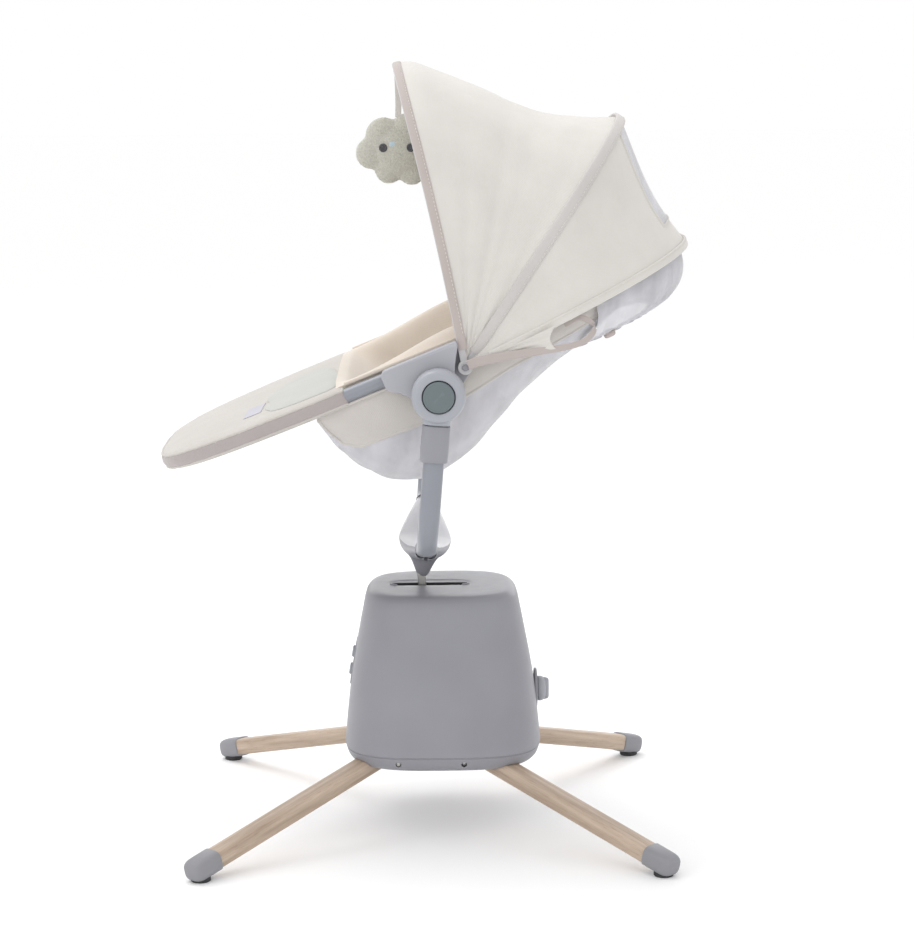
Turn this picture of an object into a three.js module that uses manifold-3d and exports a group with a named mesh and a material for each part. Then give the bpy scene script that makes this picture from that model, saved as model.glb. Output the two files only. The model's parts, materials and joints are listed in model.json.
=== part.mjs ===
// Baby swing: a seat with a folding canopy, held in a U-shaped yoke that rocks fore and aft
// on a motor base with four splayed wooden legs.
// Millimetres. +Z up, +X towards the head end, -X towards the feet, +Y the baby's right side.
// The origin is on the floor, under the middle of the object's box.

import * as THREE from 'three';
import { mergeVertices } from 'three/addons/utils/BufferGeometryUtils.js';
import Module from 'manifold-3d';

const wasm = await Module();
wasm.setup();

// ---- Driving dimensions ------------------------------------------------------------------

const GAP = 0.4;                    // clearance between neighbouring pieces
const CENTRE_SHIFT_X = 4.42;        // moves the whole object so that its box is centred on the origin

const FOOT_REACH = 290;             // foot centre from the middle, along X and along Y
const LEG_WIDTH = 27;
const LEG_HEIGHT = 23;
const LEG_INNER = 58;               // where the leg's centre line ends inside the base, along X and Y
const LEG_FOOT_Z = 17.5;            // height of the leg's centre line at the foot
const LEG_INNER_Z = 101;            // and at its inner end

const HOUSING_X = 16;               // the housing stands a little behind the legs' middle
const HOUSING_POWER = 3.3;          // roundness of its plan: 2 is an ellipse, more is squarer
const HOUSING_WALL = 3.2;
const HOUSING_TOP = 318;
const HOUSING_PROFILE = [           // height, half-width
  [89, 112], [92.5, 120.5], [99, 127], [111, 131], [160, 126.3], [207, 120.5],
  [258, 111.2], [304, 102], [311.5, 99], [316, 94], [HOUSING_TOP, 87],
];
const SLOT_HALF = 48;               // the slot that the swing's stem moves in
const SLOT_WIDTH = 15;

const PIVOT_Z = 165;                // the swing's shaft, inside the base
const STEM_REST_X = -10;            // where the stem crosses the slot at rest

const HUB_X = 13.5;                 // axis on which the seat tilts
const HUB_Z = 604;
const HUB_RADIUS = 33.5;
const HUB_BUTTON_RADIUS = 20;
const ARM_Y = 250;                  // the yoke's arms
const ARM_LEAN = THREE.MathUtils.degToRad(4.8);
const ARM_BEND = 72;
const BRIDGE_END_Y = 178;

const SEAT_TILT = Math.atan(0.4);   // head end up
const SEAT_RISE = 38.8;             // seat plane above the hub axis
const RING_HALF_WIDTH = 210;
const RING_FOOT = -362;             // ends of the ring, along the seat plane from the hub
const RING_HEAD = 352;
const RING_MIDDLE = -10;
const RING_TUBE = 9;

const CANOPY_X = 47;                // canopy pivot
const CANOPY_Z = 636;
const FRONT_HOOP = { angle: 102.8, length: 382, halfWidth: 227, bow: 4 };
const MID_HOOP = { angle: 55.5, length: 366, halfWidth: 222, bow: -1 };
const HOOP_POWER = 2.5;

const GEAR_MODULE = 2.4;
const SECTOR_TEETH = 60;            // as a full circle; only part of it is made
const PINION_TEETH = 15;

// ---- Colours -----------------------------------------------------------------------------

const plastic = (color, roughness = 0.55) => ({ color, roughness, metalness: 0 });
const GREY = plastic(0x97979d);
const LIGHT_GREY = plastic(0xa9acb4);
const TEAL_GREY = plastic(0x6e7a7d);
const TUBE_GREY = { color: 0x9499a4, roughness: 0.4, metalness: 0.35 };
const DARK = plastic(0x3b3b3e, 0.8);
const STEEL = { color: 0xa6a49f, roughness: 0.35, metalness: 0.9 };
const BRASS = { color: 0xb59a5c, roughness: 0.4, metalness: 0.9 };
const WOOD = { color: 0xc3a184, roughness: 0.6, metalness: 0 };
const BOARD_GREEN = plastic(0x2f6b46, 0.5);
const CREAM = { color: 0xe6e0d8, roughness: 0.95, metalness: 0 };
const BEIGE = { color: 0xd8c9b6, roughness: 0.95, metalness: 0 };
const PLUSH = { color: 0xb9b7ab, roughness: 1, metalness: 0 };
const MESH_WHITE = { color: 0xd4d2d8, roughness: 0.9, metalness: 0 };

// ---- Building helpers --------------------------------------------------------------------

const swing = new THREE.Group();
swing.name = 'baby_swing';
swing.position.x = CENTRE_SHIFT_X;

function toSolid(geometry, matrix) {
  const bare = new THREE.BufferGeometry();
  bare.setAttribute('position', geometry.getAttribute('position').clone());
  if (geometry.index) bare.setIndex(geometry.index.clone());
  if (matrix) bare.applyMatrix4(matrix);
  const merged = mergeVertices(bare, 1e-4);
  return new wasm.Manifold(new wasm.Mesh({
    numProp: 3,
    vertProperties: new Float32Array(merged.getAttribute('position').array),
    triVerts: new Uint32Array(merged.index.array),
  }));
}

function toGeometry(solid) {
  const mesh = solid.getMesh();
  const geometry = new THREE.BufferGeometry();
  geometry.setAttribute('position', new THREE.BufferAttribute(new Float32Array(mesh.vertProperties), 3));
  geometry.setIndex(new THREE.BufferAttribute(new Uint32Array(mesh.triVerts), 1));
  geometry.computeVertexNormals();
  return geometry;
}

function addPiece(name, solid, look, parent = swing) {
  const mesh = new THREE.Mesh(toGeometry(solid), new THREE.MeshStandardMaterial(look));
  mesh.name = name;
  parent.add(mesh);
  return mesh;
}

const placed = (x, y, z, rx = 0, ry = 0, rz = 0) => new THREE.Matrix4().compose(
  new THREE.Vector3(x, y, z),
  new THREE.Quaternion().setFromEuler(new THREE.Euler(rx, ry, rz)),
  new THREE.Vector3(1, 1, 1),
);

function box(x0, x1, y0, y1, z0, z1) {
  const geometry = new THREE.BoxGeometry(x1 - x0, y1 - y0, z1 - z0);
  return toSolid(geometry, placed((x0 + x1) / 2, (y0 + y1) / 2, (z0 + z1) / 2));
}

// A turned piece: the profile is a list of [radius, distance along the axis].
function turned(profile, matrix, sides = 20) {
  const points = profile.map(([r, a]) => new THREE.Vector2(r, a));
  return toSolid(new THREE.LatheGeometry(points, sides), matrix);
}

const disc = (radius, from, to, matrix, sides = 20) =>
  turned([[0, from], [radius, from], [radius, to], [0, to]], matrix, sides);

const ringDisc = (inner, outer, from, to, matrix, sides = 20) =>
  turned([[inner, from], [outer, from], [outer, to], [inner, to], [inner, from]], matrix, sides);

// Turned pieces are made along +Y; these carry that axis elsewhere.
const alongY = (x, y, z) => placed(x, y, z);
const alongX = (x, y, z) => placed(x, y, z, 0, 0, -Math.PI / 2);
const alongZ = (x, y, z) => placed(x, y, z, Math.PI / 2);

// A solid through a list of rings of equal count. Closed rings of a loop join end to end.
function loft(rings, loop = false) {
  const count = rings[0].length;
  const vertices = rings.flat().map((p) => [p.x, p.y, p.z]);
  const index = [];
  const last = loop ? rings.length : rings.length - 1;
  for (let r = 0; r < last; r += 1) {
    const a = r * count;
    const b = ((r + 1) % rings.length) * count;
    for (let i = 0; i < count; i += 1) {
      const j = (i + 1) % count;
      index.push(a + i, a + j, b + j, a + i, b + j, b + i);
    }
  }
  if (!loop) {
    [[0, true], [rings.length - 1, false]].forEach(([r, flip]) => {
      const middle = rings[r].reduce((sum, p) => sum.add(p), new THREE.Vector3()).divideScalar(count);
      const m = vertices.push([middle.x, middle.y, middle.z]) - 1;
      for (let i = 0; i < count; i += 1) {
        const j = (i + 1) % count;
        if (flip) index.push(m, r * count + j, r * count + i);
        else index.push(m, r * count + i, r * count + j);
      }
    });
  }
  const geometry = new THREE.BufferGeometry();
  geometry.setAttribute('position', new THREE.Float32BufferAttribute(vertices.flat(), 3));
  geometry.setIndex(index);
  const solid = toSolid(geometry);
  if (solid.volume() > 0) return solid;
  for (let i = 0; i < index.length; i += 3) [index[i], index[i + 1]] = [index[i + 1], index[i]];
  geometry.setIndex(index);
  return toSolid(geometry);
}

const power = (value, exponent) => Math.sign(value) * Math.abs(value) ** exponent;

// Points of a superellipse in the plane z = height.
function squircle(halfX, halfY, exponent, height, centreX = 0, centreY = 0, count = 48) {
  return Array.from({ length: count }, (_, i) => {
    const t = (2 * Math.PI * i) / count;
    return new THREE.Vector3(
      centreX + halfX * power(Math.cos(t), 2 / exponent),
      centreY + halfY * power(Math.sin(t), 2 / exponent),
      height,
    );
  });
}

// A tube of elliptic section along a list of points; `wide` is the direction of the first radius.
function tube(points, radiusWide, radiusDeep, wide, sides = 12, loop = false) {
  const count = points.length;
  return loft(points.map((point, i) => {
    const before = points[loop ? (i + count - 1) % count : Math.max(i - 1, 0)];
    const after = points[loop ? (i + 1) % count : Math.min(i + 1, count - 1)];
    const along = after.clone().sub(before).normalize();
    const deep = along.clone().cross(wide).normalize();
    const across = deep.clone().cross(along).normalize();
    return Array.from({ length: sides }, (_, k) => {
      const t = (2 * Math.PI * (k + 0.5)) / sides;
      return point.clone()
        .addScaledVector(across, radiusWide * Math.cos(t))
        .addScaledVector(deep, radiusDeep * Math.sin(t));
    });
  }), loop);
}

// A thin sheet with a grid of points in front and its copy behind, joined round the edge.
function sheet(front, back) {
  const rows = front.length;
  const columns = front[0].length;
  const vertices = [...front.flat(), ...back.flat()].map((p) => [p.x, p.y, p.z]).flat();
  const at = (side, r, c) => side * rows * columns + r * columns + c;
  const index = [];
  const quad = (a, b, c, d) => index.push(a, b, c, a, c, d);
  for (let r = 0; r + 1 < rows; r += 1) {
    for (let c = 0; c + 1 < columns; c += 1) {
      quad(at(0, r, c), at(0, r, c + 1), at(0, r + 1, c + 1), at(0, r + 1, c));
      quad(at(1, r, c), at(1, r + 1, c), at(1, r + 1, c + 1), at(1, r, c + 1));
    }
  }
  for (let c = 0; c + 1 < columns; c += 1) {
    quad(at(0, 0, c), at(1, 0, c), at(1, 0, c + 1), at(0, 0, c + 1));
    quad(at(0, rows - 1, c), at(0, rows - 1, c + 1), at(1, rows - 1, c + 1), at(1, rows - 1, c));
  }
  for (let r = 0; r + 1 < rows; r += 1) {
    quad(at(0, r, 0), at(0, r + 1, 0), at(1, r + 1, 0), at(1, r, 0));
    quad(at(0, r, columns - 1), at(1, r, columns - 1), at(1, r + 1, columns - 1), at(0, r + 1, columns - 1));
  }
  const geometry = new THREE.BufferGeometry();
  geometry.setAttribute('position', new THREE.Float32BufferAttribute(vertices, 3));
  geometry.setIndex(index);
  const solid = toSolid(geometry);
  if (solid.volume() > 0) return solid;
  for (let i = 0; i < index.length; i += 3) [index[i], index[i + 1]] = [index[i + 1], index[i]];
  geometry.setIndex(index);
  return toSolid(geometry);
}

const SIDES = [['front_left', -1, -1], ['front_right', -1, 1], ['rear_left', 1, -1], ['rear_right', 1, 1]];
const BOTH = [['left', -1], ['right', 1]];

// ---- Legs --------------------------------------------------------------------------------

// The leg's own frame: X runs outwards along it, from its inner end.
const LEG_RUN = Math.SQRT2 * (FOOT_REACH - LEG_INNER);
const LEG_SLOPE = Math.atan((LEG_INNER_Z - LEG_FOOT_Z) / LEG_RUN);
const LEG_LENGTH = LEG_RUN / Math.cos(LEG_SLOPE);
const CAP_START = LEG_LENGTH - 24;
const legMatrix = (sx, sy) => placed(sx * LEG_INNER, sy * LEG_INNER, LEG_INNER_Z)
  .multiply(new THREE.Matrix4().makeRotationZ(Math.atan2(sy, sx)))
  .multiply(new THREE.Matrix4().makeRotationY(LEG_SLOPE));

// A bar of rounded rectangular section from `from` to `to`, enlarged by `grow` on every side.
function legBar(from, to, grow = 0) {
  const section = (x) => squircle(LEG_WIDTH / 2 + grow, LEG_HEIGHT / 2 + grow, 5, 0, 0, 0, 16)
    .map((p) => new THREE.Vector3(x, p.x, p.y));
  return loft([section(from), section(to)]);
}

function legCap() {
  const rings = [[CAP_START, 1], [LEG_LENGTH + 6, 1], [LEG_LENGTH + 14, 0.9], [LEG_LENGTH + 19, 0.66]]
    .map(([x, scale]) => squircle((LEG_WIDTH / 2 + 2.2) * scale, (LEG_HEIGHT / 2 + 2.2) * scale, 3.4, 0, 0, 0, 16)
      .map((p) => new THREE.Vector3(x, p.x, p.y)));
  return loft(rings).subtract(legBar(CAP_START - 1, LEG_LENGTH + GAP, GAP));
}

const legSolids = {};
const PAD_RADIUS = 12.5;
const PAD_TOP = 6;
SIDES.forEach(([name, sx, sy]) => {
  const matrix = legMatrix(sx, sy);
  const pocket = disc(PAD_RADIUS + GAP, -20, PAD_TOP + GAP, alongZ(sx * FOOT_REACH, sy * FOOT_REACH, 0), 20);
  const bar = legBar(0, LEG_LENGTH).transform(matrix.elements).subtract(pocket);
  legSolids[name] = legBar(-GAP, LEG_LENGTH, GAP).transform(matrix.elements);
  addPiece(`leg_${name}`, bar, WOOD);
  addPiece(`foot_cap_${name}`, legCap().transform(matrix.elements).subtract(pocket), GREY);
  addPiece(`foot_pad_${name}`, disc(PAD_RADIUS, 0, PAD_TOP, alongZ(sx * FOOT_REACH, sy * FOOT_REACH, 0), 20)
    .subtract(legSolids[name]), DARK);
});
const allLegs = Object.values(legSolids).reduce((sum, solid) => sum.add(solid));

// ---- Base housing ------------------------------------------------------------------------

function housingHalfWidth(z) {
  const above = HOUSING_PROFILE.findIndex(([height]) => height >= z);
  const [z0, w0] = HOUSING_PROFILE[Math.max(above - 1, 0)];
  const [z1, w1] = HOUSING_PROFILE[above];
  return z1 === z0 ? w1 : w0 + ((w1 - w0) * (z - z0)) / (z1 - z0);
}

const housingRing = ([z, half], count) => squircle(half, half, HOUSING_POWER, z, HOUSING_X, 0, count);
const housingOuter = loft(HOUSING_PROFILE.map((level) => housingRing(level, 28)));
const housingInner = loft([
  [80, 112 - HOUSING_WALL], [HOUSING_PROFILE[0][0], 112 - HOUSING_WALL],
  ...HOUSING_PROFILE.slice(1, -3).map(([z, half]) => [z, half - HOUSING_WALL]),
  [HOUSING_TOP - 6, 90],
].map((level) => housingRing(level, 20)));

const RECESS_HALF = 53;
const RECESS_DEPTH = 2;
const slotCut = (half, width, from, to) => loft([
  squircle(half, width / 2, 12, from, 0, 0, 32), squircle(half, width / 2, 12, to, 0, 0, 32),
]);
const recess = loft([
  squircle(RECESS_HALF, 19, 3, HOUSING_TOP - RECESS_DEPTH, 0, 4, 32),
  squircle(RECESS_HALF + 3, 22, 3, HOUSING_TOP + 1, 0, 4, 32),
]);
const BEZEL_WALL = 2.5;
const slotBezel = slotCut(SLOT_HALF + BEZEL_WALL, SLOT_WIDTH + 2 * BEZEL_WALL, HOUSING_TOP - 9, HOUSING_TOP - 2.4)
  .subtract(slotCut(SLOT_HALF, SLOT_WIDTH, HOUSING_TOP - 20, HOUSING_TOP + 2));

const SCREW_X = 43;                 // screws through the housing's lower edge
const SCREW_Z = 101;
const screwHoles = SIDES.map(([, sx, sy]) => disc(3.8, 100, 140,
  placed(sx * SCREW_X, 0, SCREW_Z, sy > 0 ? 0 : Math.PI), 12)).reduce((sum, solid) => sum.add(solid));
const DIAL_Z = 172;                 // dial on the head side
const DIAL_FLANGE_RADIUS = 28;
const DIAL_WALL_X = HOUSING_X + housingHalfWidth(DIAL_Z);
const PANEL_Z = 214;                // control panel on the foot side
const PANEL_X = HOUSING_X - housingHalfWidth(PANEL_Z);
const PANEL_TILT = Math.atan(0.17);
const PANEL_HALF = { y: 34, z: 30 };
const panelFrame = placed(PANEL_X, 0, PANEL_Z, 0, PANEL_TILT, 0);
const panelBox = (grow, from, to) => loft([from, to].map((x) => squircle(
  PANEL_HALF.y + grow, PANEL_HALF.z + grow, 4, 0, 0, 0, 24,
).map((p) => new THREE.Vector3(x, p.x, p.y)))).transform(panelFrame.elements);
const INLET = { y: 52, z: 120 };
const inletHole = disc(6, 90, 160, alongX(0, INLET.y, INLET.z), 20);
const dialHole = disc(9, 100, 170, alongX(0, 0, DIAL_Z), 24);
const dialSeat = disc(DIAL_FLANGE_RADIUS + GAP, DIAL_WALL_X - 1.5, 170, alongX(0, 0, DIAL_Z), 24);

const TRAY = { bottom: 89, top: 92.5, half: 112 - HOUSING_WALL - GAP };
const tray = loft([TRAY.bottom, TRAY.top].map((z) => housingRing([z, TRAY.half - 1.5], 20)));

const housing = housingOuter
  .subtract(housingInner)
  .subtract(recess)
  .subtract(slotCut(SLOT_HALF + BEZEL_WALL + GAP, SLOT_WIDTH + 2 * (BEZEL_WALL + GAP), 300, 330))
  .subtract(panelBox(GAP, -8, 12))
  .subtract(inletHole)
  .subtract(dialHole)
  .subtract(dialSeat)
  .subtract(screwHoles)
  .subtract(allLegs);
addPiece('base_housing', housing, GREY);
addPiece('slot_bezel', slotBezel, DARK);

// ---- Chassis: the moulding that takes the legs, and carries the swing's bearings ------------

const CHASSIS = { half: 82, bottom: 93, top: 122 };
const TOWER = { inner: 34, outer: 44, halfX: 24, top: PIVOT_Z + 22 };
const SHAFT_RADIUS = 6;
const BEARING_RADIUS = 13;
const chassisPlate = loft([CHASSIS.bottom, CHASSIS.top]
  .map((z) => squircle(CHASSIS.half, CHASSIS.half, 4, z, 0, 0, 32)));
const chassisWell = loft([CHASSIS.bottom + 12, CHASSIS.top + 5]
  .map((z) => squircle(34, 30, 4, z, 0, 0, 24)));
let chassis = chassisPlate.subtract(chassisWell);
BOTH.forEach(([, side]) => {
  const tower = box(-TOWER.halfX, TOWER.halfX, ...[side * TOWER.inner, side * TOWER.outer].sort((a, b) => a - b),
    CHASSIS.top - 5, TOWER.top);
  chassis = chassis.add(tower)
    .subtract(disc(BEARING_RADIUS + GAP, -60, 60, alongY(0, 0, PIVOT_Z), 24));
});
const MOTOR_X = ((SECTOR_TEETH + PINION_TEETH) * GEAR_MODULE) / 2;
const MOTOR_RADIUS = 21;
const motorAxis = (y) => alongY(MOTOR_X, y, PIVOT_Z);
const motorPost = box(MOTOR_X - 16, MOTOR_X + 16, 16, 24, CHASSIS.top - 16, PIVOT_Z + 24)
  .add(box(TOWER.halfX + 14, MOTOR_X + 16, 8, 44, CHASSIS.top - 16, CHASSIS.top - 8))
  .subtract(disc(8, 0, 60, motorAxis(0), 24));
const motorFoot = box(TOWER.halfX + 14 - GAP, MOTOR_X + 16 + GAP, 8 - GAP, 44 + GAP, CHASSIS.top - 16 - GAP, 200);
const sectorPocket = box(30, CHASSIS.half, -8, 12, CHASSIS.top - 10, CHASSIS.top + 5);
chassis = chassis.subtract(motorFoot).subtract(sectorPocket).subtract(allLegs);
addPiece('chassis', chassis, DARK);
addPiece('motor_bracket', motorPost.subtract(allLegs), STEEL);
BOTH.forEach(([name, side]) => {
  const [from, to] = [side * TOWER.inner, side * TOWER.outer].sort((a, b) => a - b);
  addPiece(`swing_bearing_${name}`, ringDisc(SHAFT_RADIUS + 0.3, BEARING_RADIUS, from, to, alongY(0, 0, PIVOT_Z), 24),
    BRASS);
});

let traySolid = tray;
SIDES.forEach(([name, sx, sy]) => {
  const matrix = placed(sx * SCREW_X, 0, SCREW_Z, sy > 0 ? 0 : Math.PI);
  const lug = [sy * 96, sy * 108].sort((a, b) => a - b);
  traySolid = traySolid
    .add(box(sx * SCREW_X - 7, sx * SCREW_X + 7, ...lug, TRAY.top - 1, SCREW_Z + 7))
    .subtract(disc(2.4, 90, 130, matrix, 12));
  addPiece(`housing_screw_${name}`, turned(
    [[0, 98], [2, 98], [2, 119.5], [3.4, 119.5], [3.4, 121.5], [0, 121.5]], matrix, 12,
  ), STEEL);
});
addPiece('base_tray', traySolid.subtract(allLegs), GREY);

// ---- Electrics ---------------------------------------------------------------------------

addPiece('drive_motor', disc(MOTOR_RADIUS, 24 + GAP, 72, motorAxis(0), 28)
  .add(disc(7, 14, 26, motorAxis(0), 20)), STEEL);
const BOARD = { x0: -62, x1: -52, halfY: 40, z0: 150, z1: 235 };
addPiece('circuit_board', box(BOARD.x0, BOARD.x0 + 1.6, -BOARD.halfY, BOARD.halfY, BOARD.z0, BOARD.z1)
  .add(box(BOARD.x0 + 1, BOARD.x0 + 7, -20, 0, 170, 190))
  .add(box(BOARD.x0 + 1, BOARD.x0 + 9, 12, 30, 205, 222)), BOARD_GREEN);
addPiece('speaker', turned([[0, 0], [26, 0], [26, 4], [14, 12], [14, 20], [0, 20]],
  placed(10, -96, 150, 0, 0, 0), 28), DARK);
addPiece('power_inlet', ringDisc(2.5, 5.5, 112, HOUSING_X + housingHalfWidth(INLET.z) - 9,
  alongX(0, INLET.y, INLET.z), 20).add(disc(9, 98, 113, alongX(0, INLET.y, INLET.z), 20)), DARK);

// ---- Controls ----------------------------------------------------------------------------

const BUTTONS = [['upper', 12], ['lower', -12]];
const panelPoint = (x, y, z) => panelFrame.clone().multiply(placed(x, y, z));
const BUTTON_RADIUS = 8;
const panelAxis = (y, z) => panelPoint(0, y, z).multiply(placed(0, 0, 0, 0, 0, Math.PI / 2));
let panel = panelBox(-GAP, -0.5, 4);
BUTTONS.forEach(([name, z]) => {
  panel = panel.subtract(disc(BUTTON_RADIUS + GAP, -10, 10, panelAxis(0, z), 16));
  addPiece(`button_${name}`, turned(
    [[0, -8], [BUTTON_RADIUS + 1.5, -8], [BUTTON_RADIUS + 1.5, -6.5], [BUTTON_RADIUS, -6.5], [BUTTON_RADIUS, 2],
      [BUTTON_RADIUS - 2.5, 3.3], [0, 3.8]],
    panelAxis(0, z), 16,
  ), LIGHT_GREY);
});
addPiece('control_panel', panel, GREY);

addPiece('dial_flange', ringDisc(9, DIAL_FLANGE_RADIUS, DIAL_WALL_X - 1.5 + GAP, DIAL_WALL_X + 3,
  alongX(0, 0, DIAL_Z), 24), LIGHT_GREY);
addPiece('dial', turned([[0, 120], [6, 120], [6, DIAL_WALL_X + 3 + GAP], [17, DIAL_WALL_X + 3 + GAP],
  [17, DIAL_WALL_X + 11], [14, DIAL_WALL_X + 14], [0, DIAL_WALL_X + 15]], alongX(0, 0, DIAL_Z), 20)
  .add(box(DIAL_WALL_X + 8, DIAL_WALL_X + 19, -4, 4, DIAL_Z - 15, DIAL_Z + 15)), LIGHT_GREY);

// ---- Drive: pinion on the motor, toothed sector on the rocker -------------------------------

// Straight-flanked teeth on a gear of `count` teeth, from tooth `first` to tooth `last`.
function gearOutline(count, first, last, phase) {
  const pitch = (count * GEAR_MODULE) / 2;
  const tip = pitch + 0.75 * GEAR_MODULE;
  const root = pitch - 1.15 * GEAR_MODULE;
  const step = (2 * Math.PI) / count;
  const points = [];
  for (let k = first; k <= last; k += 1) {
    const middle = phase + k * step;
    [[root, 0.33], [tip, 0.12], [tip, -0.12], [root, -0.33]].reverse().forEach(([r, part]) => {
      points.push(new THREE.Vector2(r * Math.cos(middle + part * step), r * Math.sin(middle + part * step)));
    });
  }
  return points;
}

// A plate cut to an outline given in the XZ plane, from y0 to y1.
function plate(points, y0, y1, matrix = placed(0, 0, 0)) {
  const ordered = THREE.ShapeUtils.area(points) > 0 ? points : [...points].reverse();
  const geometry = new THREE.ExtrudeGeometry(new THREE.Shape(ordered), { depth: y1 - y0, bevelEnabled: false });
  return toSolid(geometry, matrix.clone().multiply(placed(0, y1, 0)).multiply(placed(0, 0, 0, Math.PI / 2)));
}

const pivotFrame = placed(0, 0, PIVOT_Z);
const pinionFrame = placed(MOTOR_X, 0, PIVOT_Z);
addPiece('motor_pinion', plate(gearOutline(PINION_TEETH, 0, PINION_TEETH - 1, Math.PI + Math.PI / PINION_TEETH),
  -6, 12, pinionFrame).add(disc(9, 11, 14 - GAP, motorAxis(0), 20)), BRASS);

const SECTOR_HALF = 4;
const sectorTeeth = gearOutline(SECTOR_TEETH, -SECTOR_HALF, SECTOR_HALF, 0);
const SECTOR_BORE = 17;
const sectorWeb = [...sectorTeeth, new THREE.Vector2(16, 20), new THREE.Vector2(16, -20)];
addPiece('drive_sector', plate(sectorWeb, -6, 10, pivotFrame)
  .subtract(disc(SECTOR_BORE, -30, 30, alongY(0, 0, PIVOT_Z), 24))
  .subtract(plate([[30, -9], [60, -20], [60, 20], [30, 9]].map(([x, z]) => new THREE.Vector2(x, z)),
    -10, 20, pivotFrame)), STEEL);

// ---- Swing: shaft, rocker and yoke ---------------------------------------------------------

addPiece('pivot_shaft', disc(SHAFT_RADIUS, -47, 47, alongY(0, 0, PIVOT_Z), 24), STEEL);
const STEM_LEAN = Math.atan2(STEM_REST_X, HOUSING_TOP - PIVOT_Z);
const STEM_END = 178;
const rockerFrame = placed(0, 0, PIVOT_Z, 0, STEM_LEAN, 0);
const rockerStem = (grow) => loft([10, STEM_END + grow].map((z) => squircle(5.5 + grow, 6 + grow, 4, z, 0, 0, 20)))
  .transform(rockerFrame.elements);
addPiece('rocker', disc(SECTOR_BORE - GAP, -24, 24, alongY(0, 0, PIVOT_Z), 24)
  .add(rockerStem(0))
  .subtract(disc(SHAFT_RADIUS + 0.3, -50, 50, alongY(0, 0, PIVOT_Z), 24)), STEEL);

// The yoke's own frame: its origin is on the hub axis, and the arms run down -Z.
const yokeFrame = placed(HUB_X, 0, HUB_Z, 0, ARM_LEAN, 0);
const WIDE_X = new THREE.Vector3(1, 0, 0);
const ARM_TOP = -31;
const ARM_BEND_START = -134;
const ARM_WIDE = 13;
const ARM_DEEP = 10;
const BRIDGE_RISE = 18;
const BRIDGE_LOW = ARM_BEND_START - ARM_BEND - BRIDGE_RISE;

function armPath(side) {
  const points = [new THREE.Vector3(0, side * ARM_Y, ARM_TOP), new THREE.Vector3(0, side * ARM_Y, ARM_BEND_START + 20)];
  for (let i = 0; i <= 6; i += 1) {
    const t = (i / 6) * (Math.PI / 2);
    points.push(new THREE.Vector3(
      0, side * (ARM_Y - ARM_BEND * (1 - Math.cos(t))), ARM_BEND_START - ARM_BEND * Math.sin(t),
    ));
  }
  points.push(new THREE.Vector3(0, side * (BRIDGE_END_Y - 8), ARM_BEND_START - ARM_BEND));
  return points;
}

const bridgeSections = Array.from({ length: 11 }, (_, i) => {
  const y = BRIDGE_END_Y * ((i / 5) - 1);
  const part = Math.abs(y) / BRIDGE_END_Y;
  const halfWidth = ARM_WIDE + 1 + 21 * (1 - part ** 1.45);
  const middle = BRIDGE_LOW + BRIDGE_RISE * part ** 1.6;
  const above = 5 + 4 * part;
  const below = 9.5 + 20.5 * (1 - part ** 1.2) ** 1.5;
  return Array.from({ length: 12 }, (__, k) => {
    const t = (2 * Math.PI * k) / 12;
    return new THREE.Vector3(halfWidth * Math.cos(t), y, middle + (t < Math.PI ? above : below) * Math.sin(t));
  });
});
const NECK = [[0, -276], [7, -276], [9, -273.5], [12, -270], [14.5, -264], [18, -255], [20, -248], [0, -240]];
const bridge = loft(bridgeSections)
  .add(turned(NECK, placed(0, 0, 0, Math.PI / 2), 14))
  .transform(yokeFrame.elements)
  .subtract(rockerStem(GAP));
addPiece('yoke_bridge', bridge, GREY);

const SLEEVE = { top: -37, bottom: -82, wide: 17.6, deep: 14 };
const HUB_INNER = 238;
const HUB_OUTER = 268.5;
BOTH.forEach(([name, side]) => {
  const arm = tube(armPath(side), ARM_WIDE, ARM_DEEP, WIDE_X, 12)
    .subtract(box(-50, 50, -BRIDGE_END_Y - GAP, BRIDGE_END_Y + GAP, -300, 0));
  addPiece(`yoke_arm_${name}`, arm.transform(yokeFrame.elements), TUBE_GREY);
  const straight = (wide, deep, top, bottom) => loft([top, bottom]
    .map((z) => squircle(wide, deep, 2.6, z, 0, side * ARM_Y, 24)));
  addPiece(`arm_sleeve_${name}`, straight(SLEEVE.wide, SLEEVE.deep, SLEEVE.top, SLEEVE.bottom)
    .subtract(straight(ARM_WIDE + GAP, ARM_DEEP + GAP, SLEEVE.top + 5, SLEEVE.bottom - 5))
    .transform(yokeFrame.elements), GREY);
  const outward = placed(HUB_X, 0, HUB_Z, side > 0 ? 0 : Math.PI);
  const hubBody = turned([[0, HUB_INNER], [31.5, HUB_INNER], [HUB_RADIUS, HUB_INNER + 2], [HUB_RADIUS, 262],
    [31, 266.5], [27, HUB_OUTER], [HUB_BUTTON_RADIUS + GAP, HUB_OUTER], [HUB_BUTTON_RADIUS + GAP, 250], [0, 250]],
  outward, 22);
  const hubNeck = straight(SLEEVE.wide, 11.5, -20, SLEEVE.top + GAP).transform(yokeFrame.elements)
    .subtract(disc(HUB_BUTTON_RADIUS + GAP, 249, 300, outward, 22));
  addPiece(`pivot_hub_${name}`, hubBody.add(hubNeck)
    .subtract(straight(ARM_WIDE + GAP, ARM_DEEP + GAP, ARM_TOP + GAP, SLEEVE.bottom).transform(yokeFrame.elements)),
  GREY);
  addPiece(`hub_button_${name}`, turned([[0, 256], [HUB_BUTTON_RADIUS - GAP, 256], [HUB_BUTTON_RADIUS - GAP, 269.5],
    [HUB_BUTTON_RADIUS - 2.4, 271.3], [0, 271.8]], outward, 22), TEAL_GREY);
});

// ---- Seat --------------------------------------------------------------------------------

// The seat's frame: X runs along the seat towards the head (u), Z is square to the seat (n).
const seatFrame = placed(HUB_X, 0, HUB_Z, 0, -SEAT_TILT, 0).multiply(placed(0, 0, SEAT_RISE));

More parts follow.
